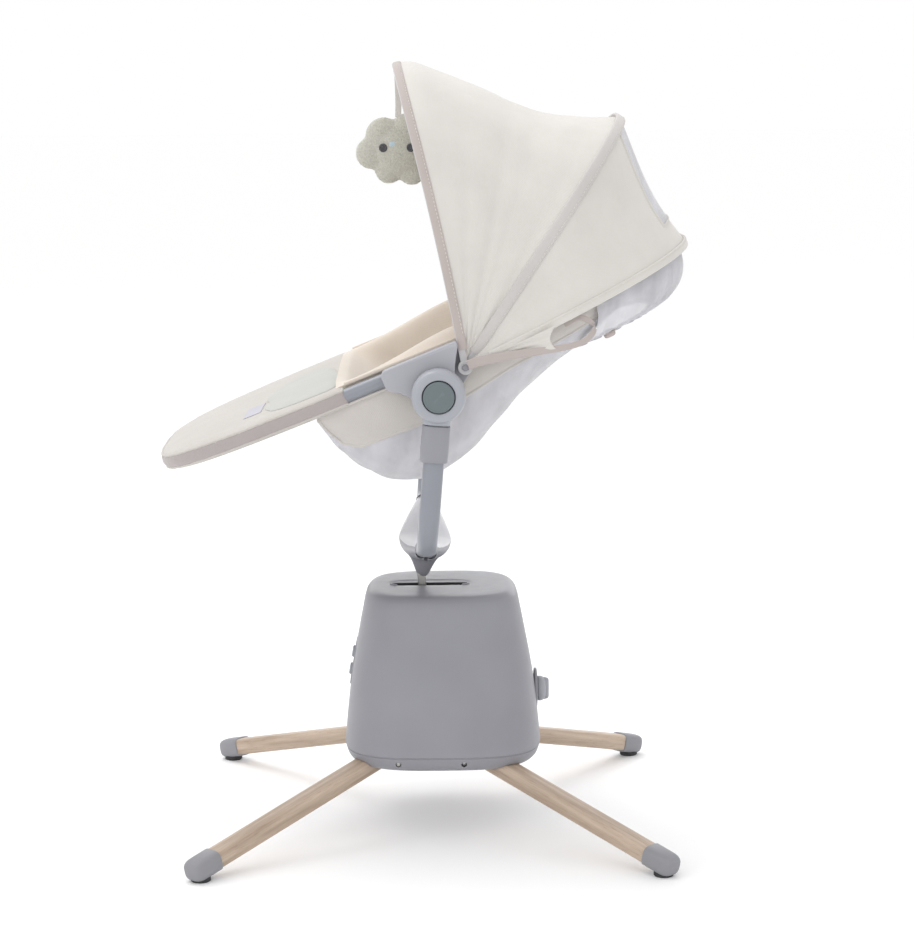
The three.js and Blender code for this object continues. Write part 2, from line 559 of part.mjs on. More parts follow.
// A point of the seat's outline, grown outwards by `grow`, at height n.
function outlinePoint(t, grow = 0, n = 0) {
  const towardsHead = Math.cos(t) >= 0;
  const length = (towardsHead ? RING_HEAD - RING_MIDDLE : RING_MIDDLE - RING_FOOT) + grow;
  const exponent = towardsHead ? 2.6 : 4;
  return new THREE.Vector3(
    RING_MIDDLE + length * power(Math.cos(t), 2 / exponent),
    (RING_HALF_WIDTH + grow) * power(Math.sin(t), 2 / exponent),
    n,
  );
}
const outline = (grow, n, count = 36) => Array.from({ length: count }, (_, i) =>
  outlinePoint((2 * Math.PI * (i + 0.5)) / count, grow, n));

// Half-width of the outline at a place along the seat.
function seatHalfWidth(u, grow = 0) {
  const length = (u >= RING_MIDDLE ? RING_HEAD - RING_MIDDLE : RING_MIDDLE - RING_FOOT) + grow;
  const exponent = u >= RING_MIDDLE ? 2.6 : 4;
  const part = Math.min(Math.abs(u - RING_MIDDLE) / length, 1);
  return (RING_HALF_WIDTH + grow) * (1 - part ** exponent) ** (1 / exponent);
}

const UP = new THREE.Vector3(0, 0, 1);
const ringTube = (radius) => tube(outline(0, 0), radius, radius, UP, 8, true);
const ringSpace = ringTube(RING_TUBE + GAP);
addPiece('seat_frame', ringTube(RING_TUBE).transform(seatFrame.elements), TUBE_GREY);

const PAD_EDGE = -110;              // where the foot pad gives way to the liner
const footPad = loft([[-11.5, 3], [-8, 9], [8, 10], [12.5, 5]].map(([n, grow]) => outline(grow, n)))
  .subtract(box(PAD_EDGE, 500, -300, 300, -50, 50))
  .subtract(ringSpace);
addPiece('foot_pad', footPad.transform(seatFrame.elements), CREAM);

// Depths below the seat's plane along the middle, joined by a smooth curve.
const depthCurve = (points) => new THREE.SplineCurve(points.map(([u, n]) => new THREE.Vector2(u, n)));
const BOWL_RIM = -12.2;
const bowlBottom = depthCurve([[-152, -20], [-150, -42], [-138, -82], [-106, -128], [-60, -150], [4, -140],
  [60, -116], [134, -84], [215, -57], [300, -30], [338, -16]]);
const linerBottom = depthCurve([[-107, 8], [-96, -10], [-78, -46], [-56, -92], [-26, -124], [8, -121],
  [52, -93], [134, -55], [215, -30], [300, -12], [334, -3]]);

// Rows run along the seat, columns across it; each cross-section is a rounded trough.
function trough(curve, rim, wallIn, halfWidth, exponent, rows = 12, columns = 10) {
  return Array.from({ length: rows + 1 }, (_, r) => {
    const { x: u, y: n } = curve.getPoint(r / rows);
    const half = halfWidth(u) - wallIn;
    const top = rim(u);
    return Array.from({ length: columns + 1 }, (__, c) => {
      const angle = (Math.PI * c) / columns;
      const v = -half * power(Math.cos(angle), 2 / exponent);
      return new THREE.Vector3(u, v, top + (n + wallIn - top) * power(Math.sin(angle), 2 / exponent));
    });
  });
}
const bowlRim = () => BOWL_RIM;
const bowlWidth = (u) => seatHalfWidth(u, -2);
addPiece('seat_sling', sheet(
  trough(bowlBottom, bowlRim, 2.5, bowlWidth, 2.3), trough(bowlBottom, bowlRim, 0, bowlWidth, 2.3),
).transform(seatFrame.elements), MESH_WHITE);

const linerRim = (u) => 12 + 22 * Math.exp(-(((u - 45) / 95) ** 2));
const linerWidth = (u) => seatHalfWidth(u, -RING_TUBE - 2.5) - 1;
addPiece('seat_liner', sheet(
  trough(linerBottom, linerRim, 8, linerWidth, 2.7), trough(linerBottom, linerRim, 0, linerWidth, 2.7),
).transform(seatFrame.elements), BEIGE);

// The skirt hangs from the ring's head end and tucks in towards its lower edge.
const SKIRT = { top: -12, drop: 47, tuck: 45, thick: 2.5 };
const skirtBand = (grow) => [0, 1, 2, 3, 4].map((row) => Array.from({ length: 17 }, (_, i) => {
  const turned = (row / 4) * (Math.PI / 2);
  return outlinePoint(((i / 16) * 2 - 1) * 0.95, 3.5 + grow - SKIRT.tuck * (1 - Math.cos(turned)),
    SKIRT.top - SKIRT.drop * Math.sin(turned) - grow * Math.sin(turned));
}));
addPiece('head_skirt', sheet(skirtBand(0), skirtBand(SKIRT.thick)).transform(seatFrame.elements), MESH_WHITE);

// The bracket clasps the ring, carries the disc that turns in the yoke's hub, and the canopy's pin.
const BRACKET = { inner: 210.6, disc: HUB_INNER - GAP, pinSide: 219 };
const PIN_RADIUS = 4;
const CANOPY_PIN = new THREE.Vector3(CANOPY_X, 0, CANOPY_Z).applyMatrix4(seatFrame.clone().invert());
const seatPlate = (points, side, from, to) => {
  const [y0, y1] = [side * from, side * to].sort((a, b) => a - b);
  return plate(points.map(([u, n]) => new THREE.Vector2(u, n)), y0, y1, seatFrame);
};
const BRACKET_CLASP = [[-58, -14], [-34, -20], [-30, -52], [30, -52], [34, -34], [46, -30], [46, -10],
  [42, 13], [-54, 13], [-58, 8]];
const BRACKET_OUTER = [[-58, -14], [-34, -20], [-18, -34], [16, -34], [16, 13], [-54, 13], [-58, 8]];
BOTH.forEach(([name, side]) => {
  const outward = (x, z) => placed(x, 0, z, side > 0 ? 0 : Math.PI);
  const bracket = seatPlate(BRACKET_CLASP, side, BRACKET.inner, BRACKET.pinSide)
    .add(seatPlate(BRACKET_OUTER, side, BRACKET.pinSide - 1, 236))
    .add(disc(31, BRACKET.pinSide - 1, BRACKET.disc, outward(HUB_X, HUB_Z), 32))
    .add(disc(PIN_RADIUS, BRACKET.pinSide - 1, 231.5, outward(CANOPY_X, CANOPY_Z), 16))
    .subtract(ringSpace.transform(seatFrame.elements));
  addPiece(`seat_bracket_${name}`, bracket, GREY);
});

// ---- Harness -----------------------------------------------------------------------------

const harnessPoint = (u, v, n) => new THREE.Vector3(u, v, n);
const BUCKLE = { u: 12, n: -92 };
const buckleFrame = seatFrame.clone().multiply(placed(BUCKLE.u, 0, BUCKLE.n, 0, -0.35, 0));
addPiece('harness_buckle', loft([[-7, 0.8], [-4, 1], [3, 1], [7, 0.78]]
  .map(([z, scale]) => squircle(24 * scale, 19 * scale, 3, z, 0, 0, 24))).subtract(disc(8.4, -0.5, 20, alongZ(0, 0, 0), 16))
  .transform(buckleFrame.elements), GREY);
addPiece('buckle_button', disc(8, 3.6, 7.6, alongZ(0, 0, 0), 16).transform(buckleFrame.elements), TEAL_GREY);

// ---- Canopy ------------------------------------------------------------------------------

const canopyRadial = (angle) => new THREE.Vector3(Math.cos(angle), 0, Math.sin(angle));
const HOOP_STRIP = { wide: 4.5, deep: 1.5 };
const EYELET_RADIUS = 9;

// A point of an arched hoop: part runs from 0 at the left pivot to 1 at the right one.
function archPoint(length, halfWidth, angle, part, bow = 0) {
  const r = length * Math.sin(Math.PI * part) ** (2 / HOOP_POWER);
  const square = canopyRadial(angle - Math.PI / 2);
  return new THREE.Vector3(CANOPY_X, -halfWidth * power(Math.cos(Math.PI * part), 2 / HOOP_POWER), CANOPY_Z)
    .addScaledVector(canopyRadial(angle), r)
    .addScaledVector(square, bow * Math.sin((Math.PI * r) / length));
}

function hoop({ angle, length, halfWidth, bow }) {
  const radians = THREE.MathUtils.degToRad(angle);
  const square = canopyRadial(radians - Math.PI / 2);
  const steps = 20;
  const points = Array.from({ length: steps + 1 }, (_, i) => {
    const even = i / steps;
    return archPoint(length, halfWidth, radians, even - 0.35 * Math.sin(2 * Math.PI * even) / (2 * Math.PI), bow);
  });
  let solid = tube(points, HOOP_STRIP.wide, HOOP_STRIP.deep, square, 6);
  BOTH.forEach(([, side]) => {
    const [y0, y1] = [side * (halfWidth - HOOP_STRIP.deep), side * (halfWidth + HOOP_STRIP.deep)].sort((a, b) => a - b);
    solid = solid.add(disc(EYELET_RADIUS, y0, y1, alongY(CANOPY_X, 0, CANOPY_Z), 14))
      .subtract(disc(PIN_RADIUS + 0.3, side > 0 ? 200 : -240, side > 0 ? 240 : -200, alongY(CANOPY_X, 0, CANOPY_Z), 12));
  });
  return solid;
}
addPiece('canopy_front_hoop', hoop(FRONT_HOOP), LIGHT_GREY);
addPiece('canopy_mid_hoop', hoop(MID_HOOP), LIGHT_GREY);

const REAR_EDGE = { angle: 25.8, length: 325, halfWidth: 231, bow: 0 };
const FABRIC_CLEAR = HOOP_STRIP.wide + 2.5;
const FABRIC_THICK = 2.4;
const FABRIC_START = 50;

// Fabric stretched between two arches; sag draws its middle in towards the pivots.
function canopyPanel(near, far, sag, clearFar) {
  const columns = 18;
  const rows = 4;
  const grid = (inward) => Array.from({ length: rows + 1 }, (_, row) => Array.from({ length: columns + 1 }, (__, c) => {
    const t = row / rows;
    const lerp = (key) => near[key] + (far[key] - near[key]) * t;
    const length = lerp('length');
    const ends = Math.asin((FABRIC_START / length) ** (HOOP_POWER / 2)) / Math.PI;
    const part = ends + (1 - 2 * ends) * (c / columns);
    const r = length * Math.sin(Math.PI * part) ** (2 / HOOP_POWER);
    const from = THREE.MathUtils.degToRad(near.angle) - FABRIC_CLEAR / r;
    const to = THREE.MathUtils.degToRad(far.angle) + clearFar / r;
    const shrink = 1 - (sag * Math.sin(Math.PI * t) + inward) / length;
    return archPoint(length * shrink, lerp('halfWidth') - inward, from + (to - from) * t, part, lerp('bow'));
  }));
  return sheet(grid(FABRIC_THICK), grid(0));
}
addPiece('canopy_front_fabric', canopyPanel(FRONT_HOOP, MID_HOOP, 43, FABRIC_CLEAR), CREAM);
addPiece('canopy_rear_fabric', canopyPanel(MID_HOOP, REAR_EDGE, 33, 0), CREAM);

// ---- Toy ---------------------------------------------------------------------------------

const TOY = { x: -34, z: 895, thick: 0.42 };
const TOY_LOBES = [[0, 2, 36], [-36, -2, 22], [34, 0, 24], [-20, 20, 25], [14, 24, 27], [-14, -24, 19], [16, -26, 19]];
const STRAP = { x: -35, halfWidth: 4, thick: 1, top: 1003 };
const toy = TOY_LOBES.map(([x, z, radius]) => toSolid(
  new THREE.SphereGeometry(radius, 8, 5),
  placed(TOY.x + x, 0, TOY.z + z).multiply(new THREE.Matrix4().makeScale(1, TOY.thick, 1)),
)).reduce((sum, solid) => sum.add(solid));
addPiece('toy_cloud', toy, PLUSH);
addPiece('toy_strap', box(STRAP.x - STRAP.halfWidth, STRAP.x + STRAP.halfWidth, -STRAP.thick, STRAP.thick,
  TOY.z + 40, STRAP.top).subtract(toy.add(
  toSolid(new THREE.SphereGeometry(51, 16, 10), placed(TOY.x, 0, TOY.z + 2)
    .multiply(new THREE.Matrix4().makeScale(1, TOY.thick, 1))))), CREAM);

export default swing;
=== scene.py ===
"""How the baby swing looks: smooth plastic, wood and tube, sewn fabric, mesh and plush.

Shapes are written in millimetres, in the CAD's own axes before it is centred; piece() turns them
into metres and moves them to the shared frame.
"""

import json
from math import asin, atan, atan2, copysign, cos, exp, hypot, pi, radians, sin, sqrt

import bmesh
import bpy
from mathutils import Matrix, Vector, noise
from mathutils.bvhtree import BVHTree

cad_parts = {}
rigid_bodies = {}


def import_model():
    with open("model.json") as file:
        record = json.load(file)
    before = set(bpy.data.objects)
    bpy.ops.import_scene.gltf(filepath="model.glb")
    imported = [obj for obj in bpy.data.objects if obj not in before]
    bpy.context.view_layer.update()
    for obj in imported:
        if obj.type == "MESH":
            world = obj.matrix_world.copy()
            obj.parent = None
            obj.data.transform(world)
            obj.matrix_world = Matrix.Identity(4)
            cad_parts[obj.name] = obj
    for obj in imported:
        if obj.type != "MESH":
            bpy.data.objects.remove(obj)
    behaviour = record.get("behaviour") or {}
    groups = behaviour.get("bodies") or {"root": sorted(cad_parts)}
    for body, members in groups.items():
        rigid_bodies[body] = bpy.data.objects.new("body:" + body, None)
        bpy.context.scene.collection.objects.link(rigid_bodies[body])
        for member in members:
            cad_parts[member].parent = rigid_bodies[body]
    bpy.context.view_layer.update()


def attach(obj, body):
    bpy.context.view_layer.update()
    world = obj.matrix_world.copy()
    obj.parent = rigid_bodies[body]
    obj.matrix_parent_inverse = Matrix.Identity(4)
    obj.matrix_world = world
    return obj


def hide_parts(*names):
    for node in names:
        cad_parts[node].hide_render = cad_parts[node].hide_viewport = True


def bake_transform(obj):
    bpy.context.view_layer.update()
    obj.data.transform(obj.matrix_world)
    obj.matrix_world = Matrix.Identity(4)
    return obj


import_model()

CENTRED = Vector((4.42, 0, 0))      # what the CAD adds to every X
HUB_X, HUB_Z = 13.5, 604            # the axis on which the seat tilts
SIDES = (("left", -1), ("right", 1))
LEGS = (("front_left", -1, -1), ("front_right", -1, 1), ("rear_left", 1, -1), ("rear_right", 1, 1))
CRISP = 38                          # edges sharper than this many degrees stay crisp
LIMP = 80                           # the same for cloth


# ---- Points and curves -----------------------------------------------------------------------

def turn(angle, axis):
    return Matrix.Rotation(angle, 4, axis)


def shift(x, y, z):
    return Matrix.Translation((x, y, z))


def facing(side):
    """Points a shape made along +Y to the left or right side."""
    return turn(0 if side > 0 else pi, "X")


YOKE = shift(HUB_X, 0, HUB_Z) @ turn(radians(4.8), "Y")
SEAT = shift(HUB_X, 0, HUB_Z) @ turn(-atan(0.4), "Y") @ shift(0, 0, 38.8)


def signed_power(value, exponent):
    """A power that keeps the value's sign."""
    return abs(value) ** exponent * (1 if value >= 0 else -1)


def oval(half_a, half_b, exponent=2.0, count=48):
    """Points of a superellipse; exponent 2 is an ellipse, and more is squarer."""
    points = []
    for i in range(count):
        t = 2 * pi * i / count
        points.append((half_a * signed_power(cos(t), 2 / exponent),
                       half_b * signed_power(sin(t), 2 / exponent)))
    return points


def smooth_curve(points, steps):
    """A curve through all the points, with steps pieces between each two."""
    points = [Vector(p) for p in points]
    knots = [0.0]
    for a, b in zip(points, points[1:]):
        knots.append(knots[-1] + max((b - a).length, 1e-6))
    slopes = []
    for i in range(len(points)):
        a, b = max(i - 1, 0), min(i + 1, len(points) - 1)
        slopes.append((points[b] - points[a]) / (knots[b] - knots[a]))
    curve = [points[0]]
    for i in range(len(points) - 1):
        span = knots[i + 1] - knots[i]
        for k in range(1, steps + 1):
            t = k / steps
            curve.append(
                points[i] * (2 * t**3 - 3 * t**2 + 1) + slopes[i] * span * (t**3 - 2 * t**2 + t)
                + points[i + 1] * (3 * t**2 - 2 * t**3) + slopes[i + 1] * span * (t**3 - t**2)
            )
    return curve


def round_corners(points, radius, closed=False, steps=4):
    """The same outline with each corner eased off by about radius."""
    points = [Vector(p) for p in points]
    count = len(points)
    rounded = []
    for i, corner in enumerate(points):
        if not closed and i in (0, count - 1):
            rounded.append(corner)
            continue
        before, after = points[i - 1] - corner, points[(i + 1) % count] - corner
        reach = min(radius, 0.45 * before.length, 0.45 * after.length)
        start, end = corner + before.normalized() * reach, corner + after.normalized() * reach
        for k in range(steps + 1):
            t = k / steps
            rounded.append(start * (1 - t) ** 2 + corner * 2 * t * (1 - t) + end * t**2)
    return rounded


def ripple(point, size, seed=0):
    """Smooth noise between about -1 and 1, with lumps of the given size in millimetres."""
    return noise.noise(Vector(point) / size + Vector((seed * 7.3, seed * 3.1, seed * 5.7)))


# ---- Surfaces --------------------------------------------------------------------------------

class Skin:
    """Points and faces in millimetres, with each face's place on the cloth for its weave."""

    def __init__(self):
        self.points, self.faces, self.cloth = [], [], []

    def grid(self, rows, wrap=False):
        """A sheet of quads through rows of points; wrap joins each row's end to its start."""
        first, count = len(self.points), len(rows[0])
        columns = count + 1 if wrap else count
        across = []
        for row in rows:
            self.points += row
            placed = [0.0]
            for c in range(1, columns):
                placed.append(placed[-1] + (Vector(row[c % count]) - Vector(row[c - 1])).length)
            across.append(placed)
        along = [[0.0] * columns]
        for r in range(1, len(rows)):
            along.append([
                along[-1][c] + (Vector(rows[r][c % count]) - Vector(rows[r - 1][c % count])).length
                for c in range(columns)
            ])
        for r in range(len(rows) - 1):
            for c in range(columns - 1):
                corners = ((r, c), (r, c + 1), (r + 1, c + 1), (r + 1, c))
                self.faces.append([first + row * count + column % count for row, column in corners])
                places = [(across[row][column], along[row][column]) for row, column in corners]
                self.cloth.append(places)
        return self

    def cap(self, first, count, flip=False):
        """One face over count points, from the point numbered first."""
        face = list(range(first, first + count))
        self.faces.append(face[::-1] if flip else face)
        self.cloth.append([(0, 0)] * count)
        return self


def loft(rings, ends=(True, True)):
    """A closed skin through rings of equal count."""
    skin = Skin().grid(rings, wrap=True)
    count = len(rings[0])
    if ends[0]:
        skin.cap(0, count, flip=True)
    if ends[1]:
        skin.cap((len(rings) - 1) * count, count)
    return skin


def lathe(profile, sides=64):
    """A turned shape: the profile is a list of (radius, distance along +Y)."""
    rings = []
    for radius, along in profile:
        radius = max(radius, 0.02)
        angles = [2 * pi * i / sides for i in range(sides)]
        rings.append([Vector((radius * sin(t), along, radius * cos(t))) for t in angles])
    return loft(rings)


def sweep(path, section, wide, loop=False, scales=None):
    """A section carried along a path. wide is the direction of the section's first axis, and scales
    has its size at each point."""
    rings = []
    count = len(path)
    for i, point in enumerate(path):
        before = path[i - 1] if loop or i > 0 else point
        after = path[(i + 1) % count] if loop or i + 1 < count else point
        along = (Vector(after) - Vector(before)).normalized()
        deep = along.cross(Vector(wide)).normalized()
        across = deep.cross(along).normalized()
        scale = scales[i] if scales else 1
        rings.append([Vector(point) + (across * a + deep * b) * scale for a, b in section])
    if loop:
        return Skin().grid(rings + [rings[0]], wrap=True)
    return loft(rings)


def rod(radius, y0, y1, sides=64):
    """A plain cylinder along +Y."""
    return lathe([(0, y0), (radius, y0), (radius, y1), (0, y1)], sides)


def prism(outline, y0, y1):
    """A plate cut to an outline in the XZ plane, from y0 to y1."""
    return loft([[Vector((x, y, z)) for x, z in outline] for y in (y0, y1)])


def in_scene(name, data):
    """A new object in the scene."""
    obj = bpy.data.objects.new(name, data)
    bpy.context.collection.objects.link(obj)
    return obj


def add_modifier(obj, kind, settings):
    modifier = obj.modifiers.new(kind.title(), kind)
    for key, value in settings.items():
        setattr(modifier, key, value)


def piece(name, skin, look, body=None, replaces=(), place=None, sharp=CRISP, modifiers=(),
          slot=None):
    """Makes the Blender object, gives it its look and ties it to a CAD body.

    place moves the skin, in millimetres, and edges sharper than sharp degrees stay crisp. The slot
    argument is not used.
    """
    mesh = bpy.data.meshes.new(name)
    place = place or Matrix()
    mesh.from_pydata([(place @ Vector(p) + CENTRED) / 1000 for p in skin.points], [], skin.faces)
    layer = mesh.uv_layers.new(name="cloth")
    values = [coordinate / 1000 for face in skin.cloth for corner in face for coordinate in corner]
    layer.data.foreach_set("uv", values)
    obj = in_scene(name, mesh)
    mesh.materials.append(look)
    tidy(mesh, sharp)
    for kind, settings in modifiers:
        add_modifier(obj, kind, settings)
    if modifiers:
        bake_modifiers(obj, sharp)
    if body:
        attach(obj, body)
    if replaces:
        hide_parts(*replaces)
    return obj


def sewn(name, skin, look, **options):
    """A cloth piece of the seat that replaces nothing."""
    return piece(name, skin, look, "seat", place=SEAT, sharp=LIMP, **options)


def tidy(mesh, sharp):
    """Merges points in one place, faces the surface outwards and shades it smooth."""
    work = bmesh.new()
    work.from_mesh(mesh)
    bmesh.ops.remove_doubles(work, verts=work.verts, dist=1e-6)
    bmesh.ops.dissolve_degenerate(work, edges=work.edges, dist=1e-7)
    bmesh.ops.recalc_face_normals(work, faces=work.faces)
    work.to_mesh(mesh)
    work.free()
    mesh.shade_smooth()
    mesh.set_sharp_from_angle(angle=radians(sharp))


def bake_modifiers(obj, sharp):
    """Applies the object's modifiers."""
    bpy.context.view_layer.update()
    graph = bpy.context.evaluated_depsgraph_get()
    mesh = bpy.data.meshes.new_from_object(obj.evaluated_get(graph))
    obj.modifiers.clear()
    old = obj.data
    obj.data = mesh
    bpy.data.meshes.remove(old)
    mesh.name = obj.name
    mesh.shade_smooth()
    mesh.set_sharp_from_angle(angle=radians(sharp))


def cutter(name, skins):
    """One hidden object made of several closed skins, to cut away from another."""
    points, faces = [], []
    for skin, place in skins:
        first = len(points)
        points += [(place @ Vector(p) + CENTRED) / 1000 for p in skin.points]
        faces += [[first + i for i in face] for face in skin.faces]
    mesh = bpy.data.meshes.new(name)
    mesh.from_pydata(points, [], faces)
    tidy(mesh, CRISP)
    return in_scene(name, mesh)


def cut(obj, tool, sharp=CRISP):
    """Cuts the tool's shape out of the object and removes the tool."""
    add_modifier(obj, "BOOLEAN", {"object": tool, "operation": "DIFFERENCE", "solver": "EXACT"})
    bake_modifiers(obj, sharp)
    bpy.data.objects.remove(tool)


def rounded_edges(width, segments=3, angle=35):
    """A modifier that eases off the edges sharper than angle."""
    return ("BEVEL", {"width": width / 1000, "segments": segments, "limit_method": "ANGLE",
                      "angle_limit": radians(angle), "harden_normals": False})


def thickness(amount, offset=-1.0):
    """A modifier that gives cloth its thickness; offset -1 puts it all behind the surface."""
    return ("SOLIDIFY", {"thickness": amount / 1000, "offset": offset})


def remeshed(size):
    """A modifier that rebuilds the surface as one skin of quads of about the given size."""
    return ("REMESH", {"mode": "VOXEL", "voxel_size": size / 1000})


SUBDIVIDED = ("SUBSURF", {"levels": 1, "render_levels": 1})
PUFF_PRESSURE = 4.0
PUFF_FRAMES = 20


def puffed(obj, cap):
    """Swells a closed cushion as cloth under air pressure. No point moves more than cap."""
    add_modifier(obj, *remeshed(5.0))
    bake_modifiers(obj, LIMP)
    before = [v.co.copy() for v in obj.data.vertices]
    cloth = obj.modifiers.new("Cloth", "CLOTH")
    cloth.settings.use_pressure = True
    cloth.settings.uniform_pressure_force = PUFF_PRESSURE
    cloth.settings.effector_weights.gravity = 0
    for frame in range(1, PUFF_FRAMES + 1):
        bpy.context.scene.frame_set(frame)
    bake_modifiers(obj, LIMP)
    bpy.context.scene.frame_set(1)
    for vertex, start in zip(obj.data.vertices, before):
        moved = vertex.co - start
        if moved.length > cap / 1000:
            vertex.co = start + moved.normalized() * cap / 1000
    add_modifier(obj, *SUBDIVIDED)
    bake_modifiers(obj, LIMP)


STITCH_LENGTH, STITCH_SPACING = 3.2, 5.0
STITCH_PROFILE = ((-0.5, 0.12), (-0.36, 0.42), (0.36, 0.42), (0.5, 0.12))   # part of length, radius


def stitches(name, path, body):
    """A row of short raised stitches along a path of points."""
    skin = Skin()
    travelled, next_stitch = 0.0, STITCH_SPACING / 2
    for a, b in zip(path, path[1:]):
        a, b = Vector(a), Vector(b)
        step = (b - a).length
        while next_stitch <= travelled + step and step > 0:
            middle = a.lerp(b, (next_stitch - travelled) / step)
            along = (b - a).normalized()
            side = along.orthogonal().normalized()
            other = along.cross(side)
            rings = []
            for reach, radius in STITCH_PROFILE:
                rings.append([middle + along * reach * STITCH_LENGTH
                              + (side * cos(t) + other * sin(t)) * radius
                              for t in (0.8, 2.37, 3.94, 5.51)])
            first = len(skin.points)
            skin.grid(rings, wrap=True)
            skin.cap(first, 4, flip=True)
            skin.cap(first + 12, 4)
            next_stitch += STITCH_SPACING
        travelled += step
    piece(name, skin, THREAD, body)


# ---- Materials -------------------------------------------------------------------------------

class Look:
    """A Principled material under construction."""

    def __init__(self, name, roughness, **sockets):
        self.material = bpy.data.materials.new(name)
        self.material.use_nodes = True
        self.tree = self.material.node_tree
        self.surface = self.tree.nodes["Principled BSDF"]
        self.surface.inputs["Roughness"].default_value = roughness
        for socket, value in sockets.items():
            self.surface.inputs[socket.replace("_", " ")].default_value = value

    def node(self, kind, inputs=None, **settings):
        """A shader node; an input is a value or another node's output."""
        made = self.tree.nodes.new("ShaderNode" + kind)
        for key, value in settings.items():
            setattr(made, key, value)
        for key, value in (inputs or {}).items():
            if isinstance(value, bpy.types.NodeSocket):
                self.tree.links.new(value, made.inputs[key])
            else:
                made.inputs[key].default_value = value
        return made

    def place(self, source="Object", scale=(1, 1, 1)):
        """Where a point is: on the object in metres, or on its cloth if source is UV."""
        coordinates = self.node("TexCoord").outputs[source]
        return self.node("Mapping", {"Vector": coordinates, "Scale": scale}).outputs["Vector"]

    def noise(self, vector, size, detail=2.0, roughness=0.5):
        """Noise from 0 to 1 with lumps of the given size in millimetres."""
        made = self.node("TexNoise", {"Vector": vector, "Scale": 1000 / size, "Detail": detail,
                                      "Roughness": roughness})
        return made.outputs["Fac"]

    def maths(self, operation, a, b=0.0, c=0.0):
        return self.node("Math", {0: a, 1: b, 2: c}, operation=operation).outputs[0]

    def ramp(self, value, low, high, start=0.3, end=0.7):
        """The colour low where value is under start, and high where it is over end."""
        made = self.node("ValToRGB", {"Fac": value})
        made.color_ramp.elements[0].position = start
        made.color_ramp.elements[1].position = end
        made.color_ramp.elements[0].color = (*low, 1)
        made.color_ramp.elements[1].color = (*high, 1)
        return made.outputs["Color"]

    def mix(self, factor, a, b):
        """The colour a where factor is 0, and b where it is 1."""
        made = self.node("Mix", data_type="RGBA", blend_type="MIX")
        for index, value in ((0, factor), (6, a), (7, b)):
            if isinstance(value, bpy.types.NodeSocket):
                self.tree.links.new(value, made.inputs[index])
            else:
                made.inputs[index].default_value = value if index == 0 else (*value, 1)
        return made.outputs[2]

    def colour(self, value):
        self.tree.links.new(value, self.surface.inputs["Base Color"])

    def rough(self, value, low, high):
        """Roughness from low to high as value goes from 0 to 1."""
        mapped = self.node("MapRange", {"Value": value, "To Min": low, "To Max": high})
        self.tree.links.new(mapped.outputs["Result"], self.surface.inputs["Roughness"])

    def bump(self, *layers):
        """Each layer is (height, depth in millimetres)."""
        normal = None
        for height, depth in layers:
            made = self.node("Bump", {"Height": height, "Distance": depth / 1000, "Strength": 1.0})
            if normal:
                self.tree.links.new(normal, made.inputs["Normal"])
            normal = made.outputs["Normal"]
        self.tree.links.new(normal, self.surface.inputs["Normal"])


def shade(colour, factor):
    return tuple(channel * factor for channel in colour)


def moulded(name, colour, roughness, grain=0.05):
    """Moulded plastic: a fine grain, faint clouding, and a painted highlight that lightens the
    sharper convex edges.
    """
    look = Look(name, roughness, Specular_IOR_Level=0.4)
    where = look.place()
    clouds = look.noise(where, 90, 3)
    body = look.ramp(clouds, shade(colour, 0.96), shade(colour, 1.04))
    edges = look.node("NewGeometry").outputs["Pointiness"]
    # Painted highlight on convex edges: where pointiness is high, the colour is mixed up to 35%
    # towards a lighter copy.
    edge_highlight = look.maths("MULTIPLY", look.maths("SUBTRACT", edges, 0.52), 5.0)
    edge_highlight = look.maths("MINIMUM", look.maths("MAXIMUM", edge_highlight, 0.0), 0.35)
    look.colour(look.mix(edge_highlight, body, shade(colour, 1.3)))
    fine = look.noise(where, 1.1, 1)
    look.rough(look.noise(where, 14, 3), roughness - 0.06, roughness + 0.07)
    look.bump((fine, grain))
    return look.material


def painted_tube(name, colour):
    """Satin powder coat: a little orange peel over metal."""
    look = Look(name, 0.36, Metallic=0.25, Specular_IOR_Level=0.5, Coat_Weight=0.15,
                Coat_Roughness=0.3)
    where = look.place()
    look.colour(look.ramp(look.noise(where, 120, 2), shade(colour, 0.97), shade(colour, 1.03)))
    look.rough(look.noise(where, 9, 2), 0.3, 0.42)
    look.bump((look.noise(where, 2.6, 1), 0.035))
    return look.material


def bare_metal(name, colour, roughness):
    """Machined metal, brushed one way."""
    look = Look(name, roughness, Metallic=1.0)
    streaks = look.noise(look.place(scale=(1, 0.04, 1)), 1.2, 2)
    look.colour(look.ramp(streaks, shade(colour, 0.86), colour))
    look.rough(streaks, roughness - 0.08, roughness + 0.12)
    look.bump((streaks, 0.02))
    return look.material


def wood(name):
    """Pale oiled beech: long figure, short dark flecks, and open pores along the grain."""
    look = Look(name, 0.5, Specular_IOR_Level=0.5, Coat_Weight=0.25, Coat_Roughness=0.45)
    along = look.place(scale=(0.05, 1, 1))
    figure = look.noise(along, 9, 4, 0.6)
    grain = look.ramp(figure, (0.35, 0.258, 0.188), (0.575, 0.455, 0.355), 0.32, 0.68)
    flecks = look.noise(look.place(scale=(0.09, 1, 1)), 1.6, 2, 0.6)
    fleck_mask = look.ramp(flecks, (0, 0, 0), (1, 1, 1), 0.58, 0.72)
    look.colour(look.mix(look.maths("MULTIPLY", fleck_mask, 0.45), grain, (0.27, 0.17, 0.11)))
    look.rough(figure, 0.42, 0.6)
    look.bump((figure, 0.12), (flecks, 0.1))
    return look.material


def rubber(name):
    """Black rubber, dull and finely pitted."""
    look = Look(name, 0.8, Specular_IOR_Level=0.3)
    where = look.place()
    look.colour(look.ramp(look.noise(where, 5, 2), (0.035, 0.035, 0.037), (0.06, 0.06, 0.062)))
    look.bump((look.noise(where, 0.9, 1), 0.08))
    return look.material


